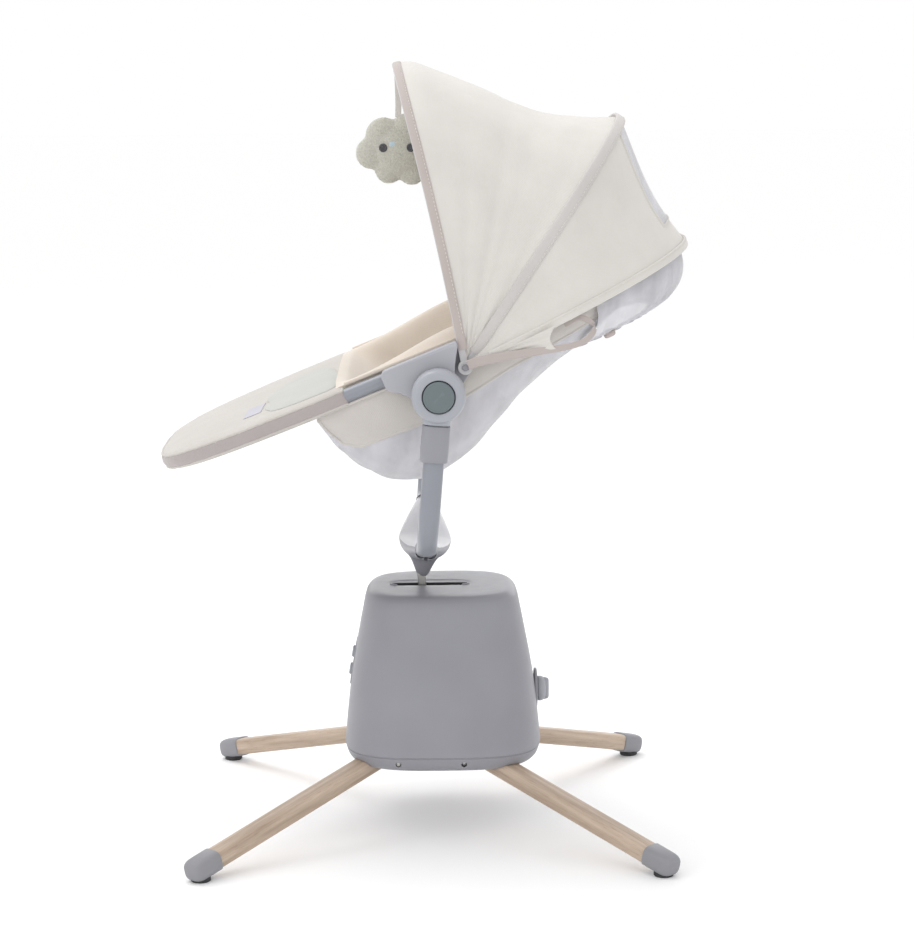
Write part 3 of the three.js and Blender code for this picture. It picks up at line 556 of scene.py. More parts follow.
def weave(look, vector, pitch):
    """Height of a plain weave with threads pitch millimetres apart, from 0 to 1."""
    parts = look.node("SeparateXYZ", {"Vector": vector})
    waves = []
    for axis in ("X", "Y"):
        phase = look.maths("MULTIPLY", parts.outputs[axis], pi * 1000 / pitch)
        waves.append(look.maths("SINE", phase))
    over = look.maths("MULTIPLY", waves[0], waves[1])
    return look.maths("MULTIPLY_ADD", over, 0.5, 0.5)


def woven(name, colour, pitch, source="UV", soft=0.3, creases=0.0):
    """Sewn cloth with a thread pattern, slubs and a faint fuzz; creases is their depth."""
    look = Look(name, 0.9, Specular_IOR_Level=0.2, Sheen_Weight=soft, Sheen_Roughness=0.5)
    threads = weave(look, look.place(source), pitch)
    where = look.place()
    clouds = look.noise(where, 60, 3, 0.6)
    base = look.ramp(clouds, shade(colour, 0.955), shade(colour, 1.02))
    slubs = look.noise(look.place(source, scale=(0.15, 1, 1)), 3.5, 2)
    # Painted shade in the weave: where the threads dip, the colour is mixed up to 20% towards a
    # darker copy.
    look.colour(look.mix(look.maths("MULTIPLY", look.maths("SUBTRACT", 1.0, threads), 0.2), base,
                         shade(colour, 0.72)))
    layers = [(threads, 0.12), (slubs, 0.15)]
    if creases:
        layers.append((look.noise(look.place(scale=(1, 1, 0.6)), 34, 3, 0.55), creases))
    look.bump(*layers)
    return look.material


def netting(name, colour, pitch):
    """Fine mesh: solid threads round filmy cells, so that what is behind shows faintly."""
    look = Look(name, 0.85, Specular_IOR_Level=0.2, Sheen_Weight=0.3, Sheen_Roughness=0.5)
    cells = look.node("TexVoronoi", {"Vector": look.place("UV"), "Scale": 1000 / pitch,
                                     "Randomness": 0.12}, feature="DISTANCE_TO_EDGE")
    cover = look.node("MapRange", {"Value": cells.outputs["Distance"], "From Min": 0.1,
                                   "From Max": 0.26, "To Min": 1.0, "To Max": 0.62})
    look.tree.links.new(cover.outputs["Result"], look.surface.inputs["Alpha"])
    streaks = look.noise(look.place(scale=(1, 0.5, 0.35)), 26, 3, 0.6)
    look.colour(look.ramp(streaks, shade(colour, 0.86), shade(colour, 1.1)))
    look.bump((look.noise(look.place("UV"), 0.7, 1), 0.05), (streaks, 0.7))
    return look.material


def plush(name, colour):
    """Short pile, brushed in small tufts."""
    look = Look(name, 1.0, Specular_IOR_Level=0.1, Sheen_Weight=0.6, Sheen_Roughness=0.45)
    where = look.place()
    tufts = look.noise(where, 2.2, 3, 0.7)
    look.colour(look.ramp(tufts, shade(colour, 0.8), shade(colour, 1.12)))
    look.bump((tufts, 0.9), (look.noise(where, 0.6, 2), 0.3))
    return look.material


def board_green(name):
    """Solder mask over copper tracks."""
    look = Look(name, 0.35, Coat_Weight=0.4)
    tracks = look.node("TexBrick", {"Vector": look.place(), "Scale": 60.0, "Mortar Size": 0.012})
    look.colour(look.mix(tracks.outputs["Fac"], (0.02, 0.14, 0.06), (0.05, 0.26, 0.11)))
    look.bump((tracks.outputs["Fac"], 0.05))
    return look.material


GREY = moulded("grey_plastic", (0.265, 0.265, 0.292), 0.44)
BRACKET = moulded("bracket_plastic", (0.375, 0.375, 0.41), 0.45)
CAP = moulded("cap_plastic", (0.255, 0.255, 0.275), 0.5)
LIGHT = moulded("light_plastic", (0.35, 0.36, 0.395), 0.42, 0.03)
# Painted light: a lighter copy of the grey, put on the yoke leaf's upward faces.
LEAF_PAINTED_LIGHT = moulded("leaf_painted_light", (0.68, 0.685, 0.71), 0.5)
TEAL = moulded("button_plastic", (0.135, 0.165, 0.175), 0.42, 0.03)
HOOP = moulded("hoop_plastic", (0.5, 0.49, 0.5), 0.45, 0.03)
DARK = moulded("dark_plastic", (0.03, 0.03, 0.033), 0.6)
TUBE = painted_tube("tube_paint", (0.25, 0.262, 0.295))
STEEL = bare_metal("steel", (0.55, 0.54, 0.52), 0.34)
BRASS = bare_metal("brass", (0.62, 0.46, 0.2), 0.36)
WOOD = wood("beech")
RUBBER = rubber("pad_rubber")
BOARD = board_green("circuit_board")
CREAM = woven("cream_fabric", (0.665, 0.64, 0.605), 1.1, creases=1.1)
CREAM_PAD = woven("cream_quilt", (0.545, 0.515, 0.48), 1.1, source="Object", creases=1.2)
PALE_PAD = woven("pale_quilt", (0.51, 0.515, 0.49), 0.9, source="Object")
CASING = woven("casing_fabric", (0.57, 0.545, 0.53), 1.0)
# Painted shade: a darker copy of the cream, put on the foot pad's upright side.
PAD_SIDE_SHADE = woven("pad_side_painted_shade", (0.40, 0.36, 0.352), 1.1, source="Object")
BEIGE = woven("beige_fabric", (0.74, 0.66, 0.575), 1.2, soft=0.5)
POUCH = woven("pouch_fabric", (0.575, 0.545, 0.515), 1.1, creases=0.8)
BINDING = woven("binding", (0.48, 0.425, 0.405), 0.8)
TAPE = woven("webbing", (0.60, 0.55, 0.49), 1.6)
THREAD = woven("thread", (0.7, 0.66, 0.61), 0.5)
TAG = woven("tag", (0.52, 0.51, 0.58), 0.7)
NET = netting("mesh_fabric", (0.58, 0.575, 0.61), 1.5)
PLUSH = plush("plush", (0.56, 0.55, 0.49))
EYE = woven("eye_felt", (0.1, 0.1, 0.107), 0.6, source="Object")
CHEEK = woven("cheek_felt", (0.5, 0.62, 0.7), 0.8, source="Object")


# ---- Camera, light and floor -----------------------------------------------------------------

FLOOR_HALF = 30                     # metres


def add_camera():
    """The view from low on the swing's left side, with a long lens."""
    elevation, azimuth, roll = radians(8.8858), radians(-0.6328), radians(-0.4768)
    distance = 3.5385
    target = Vector((0.0426, 0, 0.4783))
    back = Vector((sin(azimuth) * cos(elevation), -cos(azimuth) * cos(elevation), sin(elevation)))
    level = Vector((cos(azimuth), sin(azimuth), 0))
    up = back.cross(level)
    right = level * cos(roll) + up * sin(roll)
    up = back.cross(right)
    camera = bpy.data.cameras.new("camera")
    camera.sensor_width = 36
    camera.lens = 102.6716
    obj = in_scene("camera", camera)
    axes = Matrix((right, up, back)).transposed().to_4x4()
    obj.matrix_world = Matrix.Translation(target + back * distance) @ axes
    bpy.context.scene.camera = obj


def add_area(name, place, aim, size, power):
    """A soft rectangular light, in metres and watts, that the camera doesn't see."""
    light = bpy.data.lights.new(name, "AREA")
    light.shape = "RECTANGLE"
    light.size, light.size_y = size
    light.energy = power
    obj = in_scene(name, light)
    obj.visible_camera = False
    obj.location = place
    obj.rotation_euler = (Vector(aim) - Vector(place)).to_track_quat("-Z", "Y").to_euler()


def add_stage():
    """A white room: pale floor, white world, two soft lights above and a weak one at the back."""
    scene = bpy.context.scene
    scene.view_settings.view_transform = "Standard"
    world = bpy.data.worlds.new("studio")
    world.use_nodes = True
    background = world.node_tree.nodes["Background"].inputs
    background["Color"].default_value = (1, 1, 1, 1)
    background["Strength"].default_value = 1.0
    scene.world = world
    mesh = bpy.data.meshes.new("floor")
    corners = [(x * FLOOR_HALF, y * FLOOR_HALF, 0) for x, y in ((-1, -1), (1, -1), (1, 1), (-1, 1))]
    mesh.from_pydata(corners, [], [(0, 1, 2, 3)])
    floor = in_scene("floor", mesh)
    look = Look("floor", 0.9, Specular_IOR_Level=0.1)
    look.colour(look.ramp(look.noise(look.place(), 400, 2), (0.998, 0.998, 0.998), (1.0, 1.0, 1.0)))
    mesh.materials.append(look.material)
    add_area("key", (-0.9, 0.7, 3.2), (0, 0, 0.4), (2.6, 2.2), 38)
    add_area("fill", (-1.6, -2.6, 1.5), (0, 0.1, 0.6), (1.8, 1.4), 9)
    add_area("low_back", (0.2, 1.5, 0.62), (0, 0, 0.32), (1.6, 0.5), 5)


# ---- Legs ------------------------------------------------------------------------------------

FOOT_REACH = 290                    # from the middle to a foot, along X and along Y
LEG_INNER = 58                      # the same for a leg's inner end
LEG_HIGH, LEG_LOW = 101, 17.5       # height of its axis at each end
LEG_RUN = sqrt(2) * (FOOT_REACH - LEG_INNER)
LEG_SLOPE = atan((LEG_HIGH - LEG_LOW) / LEG_RUN)
LEG_LENGTH = LEG_RUN / cos(LEG_SLOPE)
LEG_HALF = (13.5, 11.5)
CAP_WALL = 2.2
CAP_START = LEG_LENGTH - 24
CAP_MOUTH = [(0, -1.7), (0, -0.3), (0.5, 1.4), (1.6, CAP_WALL)]   # along, and out from the wood
CAP_NOSE = [(0, 1), (7, 0.99), (11, 0.95), (14.5, 0.87), (17, 0.76), (18.6, 0.6), (19, 0.35)]
PAD_PROFILE = [(0, 0.6), (7.6, 0.6), (8, 0), (11.7, 0), (12.5, 0.9), (12.5, 6.5), (0, 6.5)]


def leg_frame(sx, sy):
    """A leg's own axes: it runs along +X from its inner end."""
    inner = shift(sx * LEG_INNER, sy * LEG_INNER, LEG_HIGH)
    return inner @ turn(atan2(sy, sx), "Z") @ turn(LEG_SLOPE, "Y")


def leg_section(x, grow=0.0, exponent=5.0, scale=1.0):
    half_y, half_z = ((half + grow) * scale for half in LEG_HALF)
    return [Vector((x, a, b)) for a, b in oval(half_y, half_z, exponent, 40)]


def add_legs():
    """Four bars of wood, each ending in a plastic cap on a rubber pad."""
    for name, sx, sy in LEGS:
        place = leg_frame(sx, sy)
        steps = [LEG_LENGTH * i / 12 for i in range(13)]
        leg = piece(f"wood_leg_{name}", loft([leg_section(x) for x in steps]), WOOD, "base",
                    [f"leg_{name}"], place)
        settle_axes(leg, place)
        rings = [leg_section(CAP_START + x, out, 3.4 if out > 1 else 4.4) for x, out in CAP_MOUTH]
        rings += [leg_section(LEG_LENGTH + x, CAP_WALL, 3.4, scale) for x, scale in CAP_NOSE]
        cap = loft(rings, (False, True))
        piece(f"cap_{name}", cap, CAP, "base", [f"foot_cap_{name}"], place, 60)
        piece(f"pad_{name}", lathe(PAD_PROFILE, 48), RUBBER, "base", [f"foot_pad_{name}"],
              shift(sx * FOOT_REACH, sy * FOOT_REACH, 0) @ turn(pi / 2, "X"))


def settle_axes(obj, place):
    """Gives the object the leg's own axes, so that its grain runs along it."""
    metres = Matrix.Translation((place.translation + CENTRED) / 1000) @ place.to_3x3().to_4x4()
    obj.data.transform(metres.inverted())
    parent, obj.parent = obj.parent, None
    obj.matrix_world = metres
    if parent:
        obj.parent = parent
        obj.matrix_parent_inverse = parent.matrix_world.inverted()


# ---- Base ------------------------------------------------------------------------------------

HOUSING_X = 16
HOUSING_TOP = 318
HOUSING_PROFILE = [(89, 112), (92.5, 120.5), (99, 127), (111, 131), (160, 126.3), (207, 120.5),
                   (258, 111.2), (300, 103), (309, 100.2), (314, 96.4), (317, 91.5),
                   (HOUSING_TOP, 86)]
SLOT_HALF, SLOT_HALF_WIDTH = 48, 7.5
SLOT_EDGE = 2.9                     # how far the housing stays from the slot, for its trim
DIAL_Z = 172
PANEL_Z = 214
PUSH_HEIGHTS = {"upper": 12, "lower": -12}    # the buttons' places on the panel
SCREW_X, SCREW_Z = 43, 101


def housing_half(z):
    """Half the housing's width at a height."""
    for (z0, w0), (z1, w1) in zip(HOUSING_PROFILE, HOUSING_PROFILE[1:]):
        if z0 <= z <= z1:
            return w0 + (w1 - w0) * (z - z0) / (z1 - z0)
    return HOUSING_PROFILE[-1][1]


def flat_ring(half_x, half_y, exponent, z, x=0.0, y=0.0, count=144):
    """A level oval."""
    return [Vector((x + a, y + b, z)) for a, b in oval(half_x, half_y, exponent, count)]


def blend_rings(a, b, part):
    return [p.lerp(q, part) for p, q in zip(a, b)]


PANEL_FRAME = shift(HOUSING_X - housing_half(PANEL_Z), 0, PANEL_Z) @ turn(atan(0.17), "Y")
ALONG_X = turn(-pi / 2, "Z")         # carries a turned shape's axis from +Y to +X


def panel_block(grow, x0, x1):
    """The control panel's rounded plate, in the panel's own axes."""
    return loft([[Vector((x, a, b)) for a, b in oval(34 + grow, 30 + grow, 4, 64)]
                 for x in (x0, x1)])


def push_place(z):
    return PANEL_FRAME @ shift(0, 0, z) @ turn(pi / 2, "Z")


def slot_ring(z):
    """The inner edge of the housing's top, round the slot."""
    return flat_ring(SLOT_HALF + SLOT_EDGE, SLOT_HALF_WIDTH + SLOT_EDGE, 12, z)


def screw_place(sx, sy):
    return shift(sx * SCREW_X, 0, SCREW_Z) @ facing(sy)


def add_housing():
    """The tapered shell, its shallow dish and slot on top, and a fine seam above its lower edge."""
    seam = [(108.6, 130.4), (109.4, 129.7), (110.4, 129.7), (111.2, 131)]
    lower = [p for p in HOUSING_PROFILE if p[0] < 105]
    middle = [seam[3]] + HOUSING_PROFILE[4:8]
    body = smooth_curve(lower + [seam[0]], 3) + seam[1:3] + smooth_curve(middle, 4)
    body += smooth_curve(HOUSING_PROFILE[8:], 2)
    rings = [flat_ring(half, half, 3.3, z, HOUSING_X) for z, half, *_ in body]
    dish_edge = flat_ring(56, 22, 3, HOUSING_TOP, 0, 4)
    dish_lip = flat_ring(55.2, 21.2, 3, HOUSING_TOP - 0.2, 0, 4)
    dish_floor = flat_ring(53, 19, 3, HOUSING_TOP - 0.7, 0, 4)
    slot_edge = slot_ring(HOUSING_TOP - 0.8)
    rings += [blend_rings(rings[-1], dish_edge, part) for part in (0.25, 0.5, 0.75, 0.93)]
    rings += [dish_edge, dish_lip, dish_floor]
    rings += [blend_rings(dish_floor, slot_edge, part) for part in (0.4, 0.8)]
    rings += [slot_edge, slot_ring(HOUSING_TOP - 8)]
    shell = piece("housing_shell", loft(rings, (False, False)), GREY, "base", ["base_housing"],
                  modifiers=[thickness(2.6)])
    leg_hole = loft([leg_section(x, 1.0) for x in (20, LEG_LENGTH)])
    tools = [(leg_hole, leg_frame(sx, sy)) for _, sx, sy in LEGS]
    tools.append((panel_block(0.4, -8, 12), PANEL_FRAME))
    tools.append((rod(28.4, 139.6, 170), shift(0, 0, DIAL_Z) @ ALONG_X))
    tools.append((rod(6, 100, 160, 32), shift(0, 52, 120) @ ALONG_X))
    tools += [(rod(3.8, 116, 140, 24), screw_place(sx, sy)) for _, sx, sy in LEGS]
    cut(shell, cutter("housing_cuts", tools), 34)


def add_base_details():
    """Slot trim, control panel with two buttons, dial and screws."""
    trim = []
    for half_x, half_y, z in ((50.5, 10, 309), (50.5, 10, 316.4), (50, 9.5, 316.9),
                              (48.6, 8.1, 316.9), (48.1, 7.6, 316.4), (48, 7.5, 309)):
        trim.append(flat_ring(half_x, half_y, 10, z, count=96))
    piece("slot_trim", loft(trim + [trim[0]], (False, False)), DARK, "base", ["slot_bezel"])
    panel = piece("panel", panel_block(-0.4, -0.5, 4), GREY, "base", ["control_panel"], PANEL_FRAME,
                  modifiers=[rounded_edges(1.6)])
    wells = [(rod(8.4, -12, 12), push_place(z)) for z in PUSH_HEIGHTS.values()]
    cut(panel, cutter("panel_cuts", wells))
    profile = round_corners([(0, -8), (9.5, -8), (9.5, -6.5), (8, -6.5), (8, 3.2), (5.2, 3.9),
                             (0, 3.6)], 1.2)
    for name, z in PUSH_HEIGHTS.items():
        piece(f"push_{name}", lathe(profile), LIGHT, f"button_{name}", [f"button_{name}"],
              push_place(z), 50)
    wall = HOUSING_X + housing_half(DIAL_Z)
    along = shift(0, 0, DIAL_Z) @ ALONG_X
    flange = round_corners([(9, wall - 1.1), (28, wall - 1.1), (28, wall + 2.2), (25.5, wall + 3),
                            (18.4, wall + 3), (18, wall + 2), (9, wall + 2)], 0.9)
    piece("dial_ring", lathe(flange + [flange[0]]), GREY, "base", ["dial_flange"], along,
          slot="light_plastic")
    knob = round_corners([(0, 120), (6, 120), (6, wall + 3.4), (17, wall + 3.4), (17, wall + 9),
                          (13.5, wall + 14), (0, wall + 15)], 2.2)
    piece("dial_knob", lathe(knob), LIGHT, "dial", ["dial"], along, 50)
    bar_rings = []
    for x, half_y, half_z in ((wall + 8, 4.6, 15.6), (wall + 14, 4.4, 15.2),
                              (wall + 17.4, 3.8, 14.2), (wall + 18.7, 2.8, 12.6),
                              (wall + 19.1, 1.4, 10)):
        bar_rings.append([Vector((x, a, DIAL_Z + b)) for a, b in oval(half_y, half_z, 3, 40)])
    piece("dial_bar", loft(bar_rings), LIGHT, "dial", sharp=55)
    screw = [(0, 100), (2, 100), (2, 119.2), (3.1, 119.2), (3.4, 119.7), (3.2, 121), (2.4, 121.5),
             (1.5, 121.5), (1.1, 120.6), (0, 120.6)]
    for name, sx, sy in LEGS:
        piece(f"screw_{name}", lathe(screw, 32), STEEL, "base", [f"housing_screw_{name}"],
              screw_place(sx, sy))


def dress_inside():
    """Better materials on the parts inside the base that keep their CAD shape."""
    looks = {"base_tray": GREY, "chassis": DARK, "motor_bracket": STEEL,
             "swing_bearing_left": BRASS, "swing_bearing_right": BRASS, "drive_motor": STEEL,
             "circuit_board": BOARD, "speaker": DARK, "power_inlet": DARK, "motor_pinion": BRASS,
             "drive_sector": STEEL, "pivot_shaft": STEEL, "rocker": STEEL}
    for node, look in looks.items():
        obj = bpy.data.objects[node]
        for slot in obj.material_slots:
            slot.link = "OBJECT"
            slot.material = look


# ---- Yoke ------------------------------------------------------------------------------------

ARM_Y = 250
ARM_BEND = 72                       # radius of a tube's bend
ARM_TOP, ARM_BEND_START = -31, -134
ARM_LOW = ARM_BEND_START - ARM_BEND
ARM_END = 170                       # how far from the middle a tube ends, inside the leaf
BRIDGE_END = 178
BRIDGE_RISE = 18
BRIDGE_LOW = ARM_LOW - BRIDGE_RISE
NECK = [(0, -276), (6.5, -276), (7.6, -273.5), (9.4, -270), (12, -264), (16.2, -255), (19.8, -248),
        (24, -238)]
SLEEVE_LEVELS = [(-83, 3.2), (-83, 1.4), (-82.3, 0.5), (-81, 0), (-38.6, 0), (-37.6, 0.4),
                 (-37.2, 1.2)]
COLLAR_LEVELS = [(-36.4, 1.0), (-36, 0.2), (-35, 0), (-24, 0)]


def arm_path(side):
    """A tube's line: down from the hub, round the bend and inwards."""
    points = [Vector((0, side * ARM_Y, ARM_TOP + (ARM_BEND_START - ARM_TOP) * i / 6))
              for i in range(6)]
    for i in range(25):
        t = i / 24 * pi / 2
        inwards, down = ARM_BEND * (1 - cos(t)), ARM_BEND * sin(t)
        points.append(Vector((0, side * (ARM_Y - inwards), ARM_BEND_START - down)))
    return points + [Vector((0, side * ARM_END, ARM_LOW))]


def arm_rings(side, half_x, half_y, levels):
    """Ovals round an arm; levels has a height and how far to draw each one in."""
    rings = []
    for z, inset in levels:
        section = oval(half_x - inset, half_y - inset, 2.7, 64)
        rings.append([Vector((a, side * ARM_Y + b, z)) for a, b in section])
    return rings


def neck_height(radius):
    """How low the neck reaches at a distance from the stem's axis."""
    for (r0, z0), (r1, z1) in zip(NECK, NECK[1:]):
        if r0 <= radius <= r1:
            return z0 + (z1 - z0) * (radius - r0) / (r1 - r0)
    return 0.0


def bridge_point(y, t):
    """The leaf-shaped middle of the yoke; its underside runs down into the neck."""
    part = min(abs(y) / BRIDGE_END, 1)
    half_width = 14 + 21 * (1 - part**1.45)
    middle = BRIDGE_LOW + BRIDGE_RISE * part**1.6
    above = 5 + 5 * part
    below = 10 + 20 * (1 - part**1.2) ** 1.5
    x = half_width * cos(t)
    z = middle + (above if sin(t) > 0 else below) * sin(t)
    if sin(t) < 0:
        neck = neck_height(hypot(x, y * 1.04))
        z = min(z, neck) - 2.2 * exp(-abs(z - neck) / 2.2)
    elif part < 0.8:
        z -= 1.6 * (1 - part / 0.8) * sin(t)
    return Vector((x, y, z))


def add_yoke():
    """The leaf and neck, the two oval tubes, their sleeves and the round hubs."""
    stations = [BRIDGE_END * signed_power(i / 70 - 1, 1.35) for i in range(141)]
    rings = [[bridge_point(y, 2 * pi * k / 96) for k in range(96)] for y in stations]
    leaf = piece("yoke_leaf", loft(rings), GREY, "swing", ["yoke_bridge"], YOKE, 50)
    leaf.data.materials.append(LEAF_PAINTED_LIGHT)
    # Faces that point upwards take the lighter grey: painted light on the leaf's top.
    for face in leaf.data.polygons:
        face.material_index = 1 if face.normal.z > 0.3 else 0
    for name, side in SIDES:
        tube = sweep(arm_path(side), oval(13, 10, 2.2, 40), (1, 0, 0))
        piece(f"tube_{name}", tube, TUBE, "swing", [f"yoke_arm_{name}"], YOKE, 50)
        add_lip(name, side)
        sleeve = loft(arm_rings(side, 17.6, 14, SLEEVE_LEVELS))
        piece(f"sleeve_{name}", sleeve, GREY, "swing", [f"arm_sleeve_{name}"], YOKE, 60)
        add_hub(name, side)


def add_lip(name, side):
    """The leaf's end wraps the tube in a lip with a V in it and a small sprung button."""
    section = oval(14.6, 11.6, 2.2, 48)
    rows = []
    for part in (0.0, 0.35, 0.75, 0.93, 1.0):
        row = []
        for a, b in section:
            reach = (15 - 11 * exp(-((a / 5.5) ** 2))) * part
            t = min(reach / ARM_BEND, 1.2)
            centre = Vector((0, side * (BRIDGE_END - 2), ARM_LOW))
            lean = turn(side * -t * 0.5, "X").to_3x3()
            swell = 1 - 0.02 * part if part < 1 else 0.93
            offset = Vector((a * swell, side * (2 + reach), -b * swell))
            row.append(centre + lean @ offset)
        rows.append(row)
    piece(f"tube_lip_{name}", loft(rows, (False, False)), GREY, "swing", place=YOKE, sharp=50)
    button = round_corners([(0, 0), (2.6, 0), (2.6, 3.4), (0, 3.8)], 0.8)
    piece(f"tube_latch_{name}", lathe(button, 24), DARK, "swing",
          place=YOKE @ shift(0, side * 199, ARM_LOW - 6.2)
          @ turn(radians(-68) if side > 0 else radians(68) + pi, "X") @ shift(0, 1.5, 0))


def add_hub(name, side):
    """A round hub with its collar on the sleeve and the push button in its face."""
    outward = shift(HUB_X, 0, HUB_Z) @ facing(side)
    profile = round_corners([(0, 238), (31.5, 238), (33.5, 240), (33.5, 261), (31.2, 266.6),
                             (27.5, 268.5), (21.6, 268.5), (20.6, 267.4), (20.4, 250), (0, 250)],
                            1.5)
    piece(f"hub_{name}", lathe(profile, 96), LIGHT, "swing", [f"pivot_hub_{name}"], outward, 50,
          slot="grey_plastic")
    collar = loft(arm_rings(side, 17.3, 11.8, COLLAR_LEVELS))
    piece(f"hub_neck_{name}", collar, LIGHT, "swing", place=YOKE, sharp=50, slot="grey_plastic")
    cap = round_corners([(0, 256), (19.6, 256), (19.6, 269.2), (18.2, 270.6), (17.4, 270.9),
                         (16.4, 270.7), (9, 271.6), (0, 271.8)], 0.7)
    piece(f"hub_cap_{name}", lathe(cap, 96), TEAL, f"hub_button_{name}", [f"hub_button_{name}"],
          outward, 60)


# ---- Seat ------------------------------------------------------------------------------------

RING_HALF_WIDTH = 210
RING_FOOT, RING_HEAD, RING_MIDDLE = -362, 352, -10


def seat_outline(t, grow=0.0, n=0.0):
    """A point of the seat's outline; t is 0 at the head end and pi at the foot end."""
    towards_head = cos(t) >= 0
    length = (RING_HEAD - RING_MIDDLE if towards_head else RING_MIDDLE - RING_FOOT) + grow
    exponent = 2.6 if towards_head else 4
    return Vector((RING_MIDDLE + length * signed_power(cos(t), 2 / exponent),
                   (RING_HALF_WIDTH + grow) * signed_power(sin(t), 2 / exponent), n))


def seat_half_width(u, grow=0.0):
    """Half the seat's width at a place along it."""
    length = (RING_HEAD - RING_MIDDLE if u >= RING_MIDDLE else RING_MIDDLE - RING_FOOT) + grow
    exponent = 2.6 if u >= RING_MIDDLE else 4
    part = min(abs(u - RING_MIDDLE) / length, 1)
    return (RING_HALF_WIDTH + grow) * (1 - part**exponent) ** (1 / exponent)


def even_outline(count, grow=0.0, n=0.0):
    """The whole outline with its points evenly spaced."""
    fine = [seat_outline(2 * pi * (i + 0.5) / 1440, grow, n) for i in range(1440)]
    return evenly(fine + [fine[0]], count)[:-1]


def evenly(points, count):
    """count + 1 points spaced evenly along a line of points."""
    lengths = [0.0]
    for a, b in zip(points, points[1:]):
        lengths.append(lengths[-1] + (b - a).length)
    spaced, k = [], 0
    for i in range(count + 1):
        target = lengths[-1] * i / count
        while k < len(points) - 2 and lengths[k + 1] < target:
            k += 1
        span = lengths[k + 1] - lengths[k]
        spaced.append(points[k].lerp(points[k + 1], (target - lengths[k]) / span if span else 0))
    return spaced


def add_seat_frame():
    """The ring of tube and the brackets that hold it on the hubs."""
    ring = sweep(even_outline(220), oval(9, 9, 2, 24), (0, 0, 1), loop=True)
    piece("seat_ring", ring, TUBE, "seat", ["seat_frame"], SEAT, 60)
    outer = [(-58, -12), (-58, 9), (-53, 13.5), (45, 14), (45, 8), (34, -10), (27, -24), (31, -44),
             (24, -62), (0, -69), (-20, -62), (-29, -46), (-33, -32), (-38, -25), (-46, -18)]
    clasp = [(-56, -12), (-56, 12), (44, 12), (47, -10), (47, -30), (30, -42), (24, -62),
             (-20, -62), (-34, -20)]
    for name, side in SIDES:
        near, far = sorted((side * 217, side * 236))
        piece(f"bracket_{name}", prism(round_corners(outer, 9, closed=True, steps=5), near, far),
              BRACKET, "seat", [f"seat_bracket_{name}"], SEAT, 50,
              modifiers=[rounded_edges(4.5, 4, 50)])
        near, far = sorted((side * 211, side * 219))
        piece(f"bracket_clasp_{name}", prism(round_corners(clasp, 6, closed=True), near, far), GREY,
              "seat", place=SEAT, sharp=50, modifiers=[rounded_edges(1.5, 2, 50)])
        pin = round_corners([(0, 214), (4, 214), (4, 231), (3, 231.8), (0, 231.8)], 0.6)
        piece(f"canopy_pin_{name}", lathe(pin, 32), GREY, "seat",
              place=CANOPY_PIVOT @ facing(side))


# ---- Foot pad --------------------------------------------------------------------------------

PAD_EDGE = -108


def pad_outline(count, grow):
    """The pad's outline: round the foot end, then straight across where the seat begins."""
    fine = [seat_outline(pi / 2 + pi * i / 900, grow) for i in range(901)]
    arc = [p for p in fine if p.x < PAD_EDGE]
    corners = [Vector((PAD_EDGE, arc[-1].y, 0)), Vector((PAD_EDGE, arc[0].y, 0))]
    closed = arc + [corners[0].lerp(corners[1], i / 40) for i in range(41)]
    return evenly(closed + [closed[0]], count)[:-1]


def add_foot_pad():
    """A boxed cushion: flat crowned top, upright side, and piped seams round both edges."""
    count = 200
    levels = [(-11.6, 4), (-10.6, 9), (-7, 11.8), (-1, 12.8), (5, 12.2), (9, 10), (11, 5.5)]
    outer = [[Vector((p.x, p.y, n)) for p in pad_outline(count, grow)] for n, grow in levels]
    spine = [Vector((min(max(p.x, -300), -180), 0, 0)) for p in outer[0]]

    def inward(ring, height, crown):
        rows = []
        for part in (0.06, 0.14, 0.26, 0.42, 0.6, 0.8, 1.0):
            row = []
            for p, q in zip(ring, spine):
                spot = p.lerp(q, part)
                rise = crown * (1 - (1 - part) ** 3)
                lump = ripple(spot, 60, 2) * 0.9 + ripple(spot, 150, 5) * 1.3
                lump = lump * min(part * 6, 1) * (1 if crown > 0 else -0.5)
                row.append(Vector((spot.x, spot.y, height + rise + lump)))
            rows.append(row)
        return rows

    rings = inward(outer[0], -11.8, -0.8)[::-1] + outer + inward(outer[-1], 11.2, 2.2)
    cushion = loft(rings, (False, False))
    pad = piece("foot_cushion", cushion, CREAM_PAD, "seat", ["foot_pad"], SEAT, 70)
    puffed(pad, 1.6)
    # Faces that don't face up take the darker cream: painted shade on the pad's side.
    pad.data.materials.append(PAD_SIDE_SHADE)
    normal = SEAT.to_3x3() @ Vector((0, 0, 1))
    for face in pad.data.polygons:
        face.material_index = 1 if face.normal.dot(normal) < 0.66 else 0
    surface = surface_of(pad)
    for tag, n, grow in (("top", 11.5, 10.5), ("bottom", -11.5, 9.5)):
        seam = [surface.find_nearest(Vector((p.x, p.y, n)))[0] for p in pad_outline(count, grow)]
        sewn(f"foot_piping_{tag}", sweep(seam, oval(1.7, 1.7, 2, 8), (0, 0, 1), loop=True),
             CREAM_PAD)
    add_calf_panel(surface)


def surface_of(obj):
    """A tree of the object's faces, in the seat's own frame."""
    to_seat = (SEAT.inverted() @ Matrix.Translation(-CENTRED)).to_4x4()
    corners = [to_seat @ (v.co * 1000) for v in obj.data.vertices]
    return BVHTree.FromPolygons(corners, [p.vertices[:] for p in obj.data.polygons])


def on_top_of(surface, lift):
    """A function that raises a point of the seat's plane to just above a surface."""
    def raised(u, v, extra=0.0):
        hit = surface.ray_cast(Vector((u, v, 80)), Vector((0, 0, -1)), 100)[0]
        return Vector((u, v, (hit.z if hit else 12) + lift + extra))

    return raised


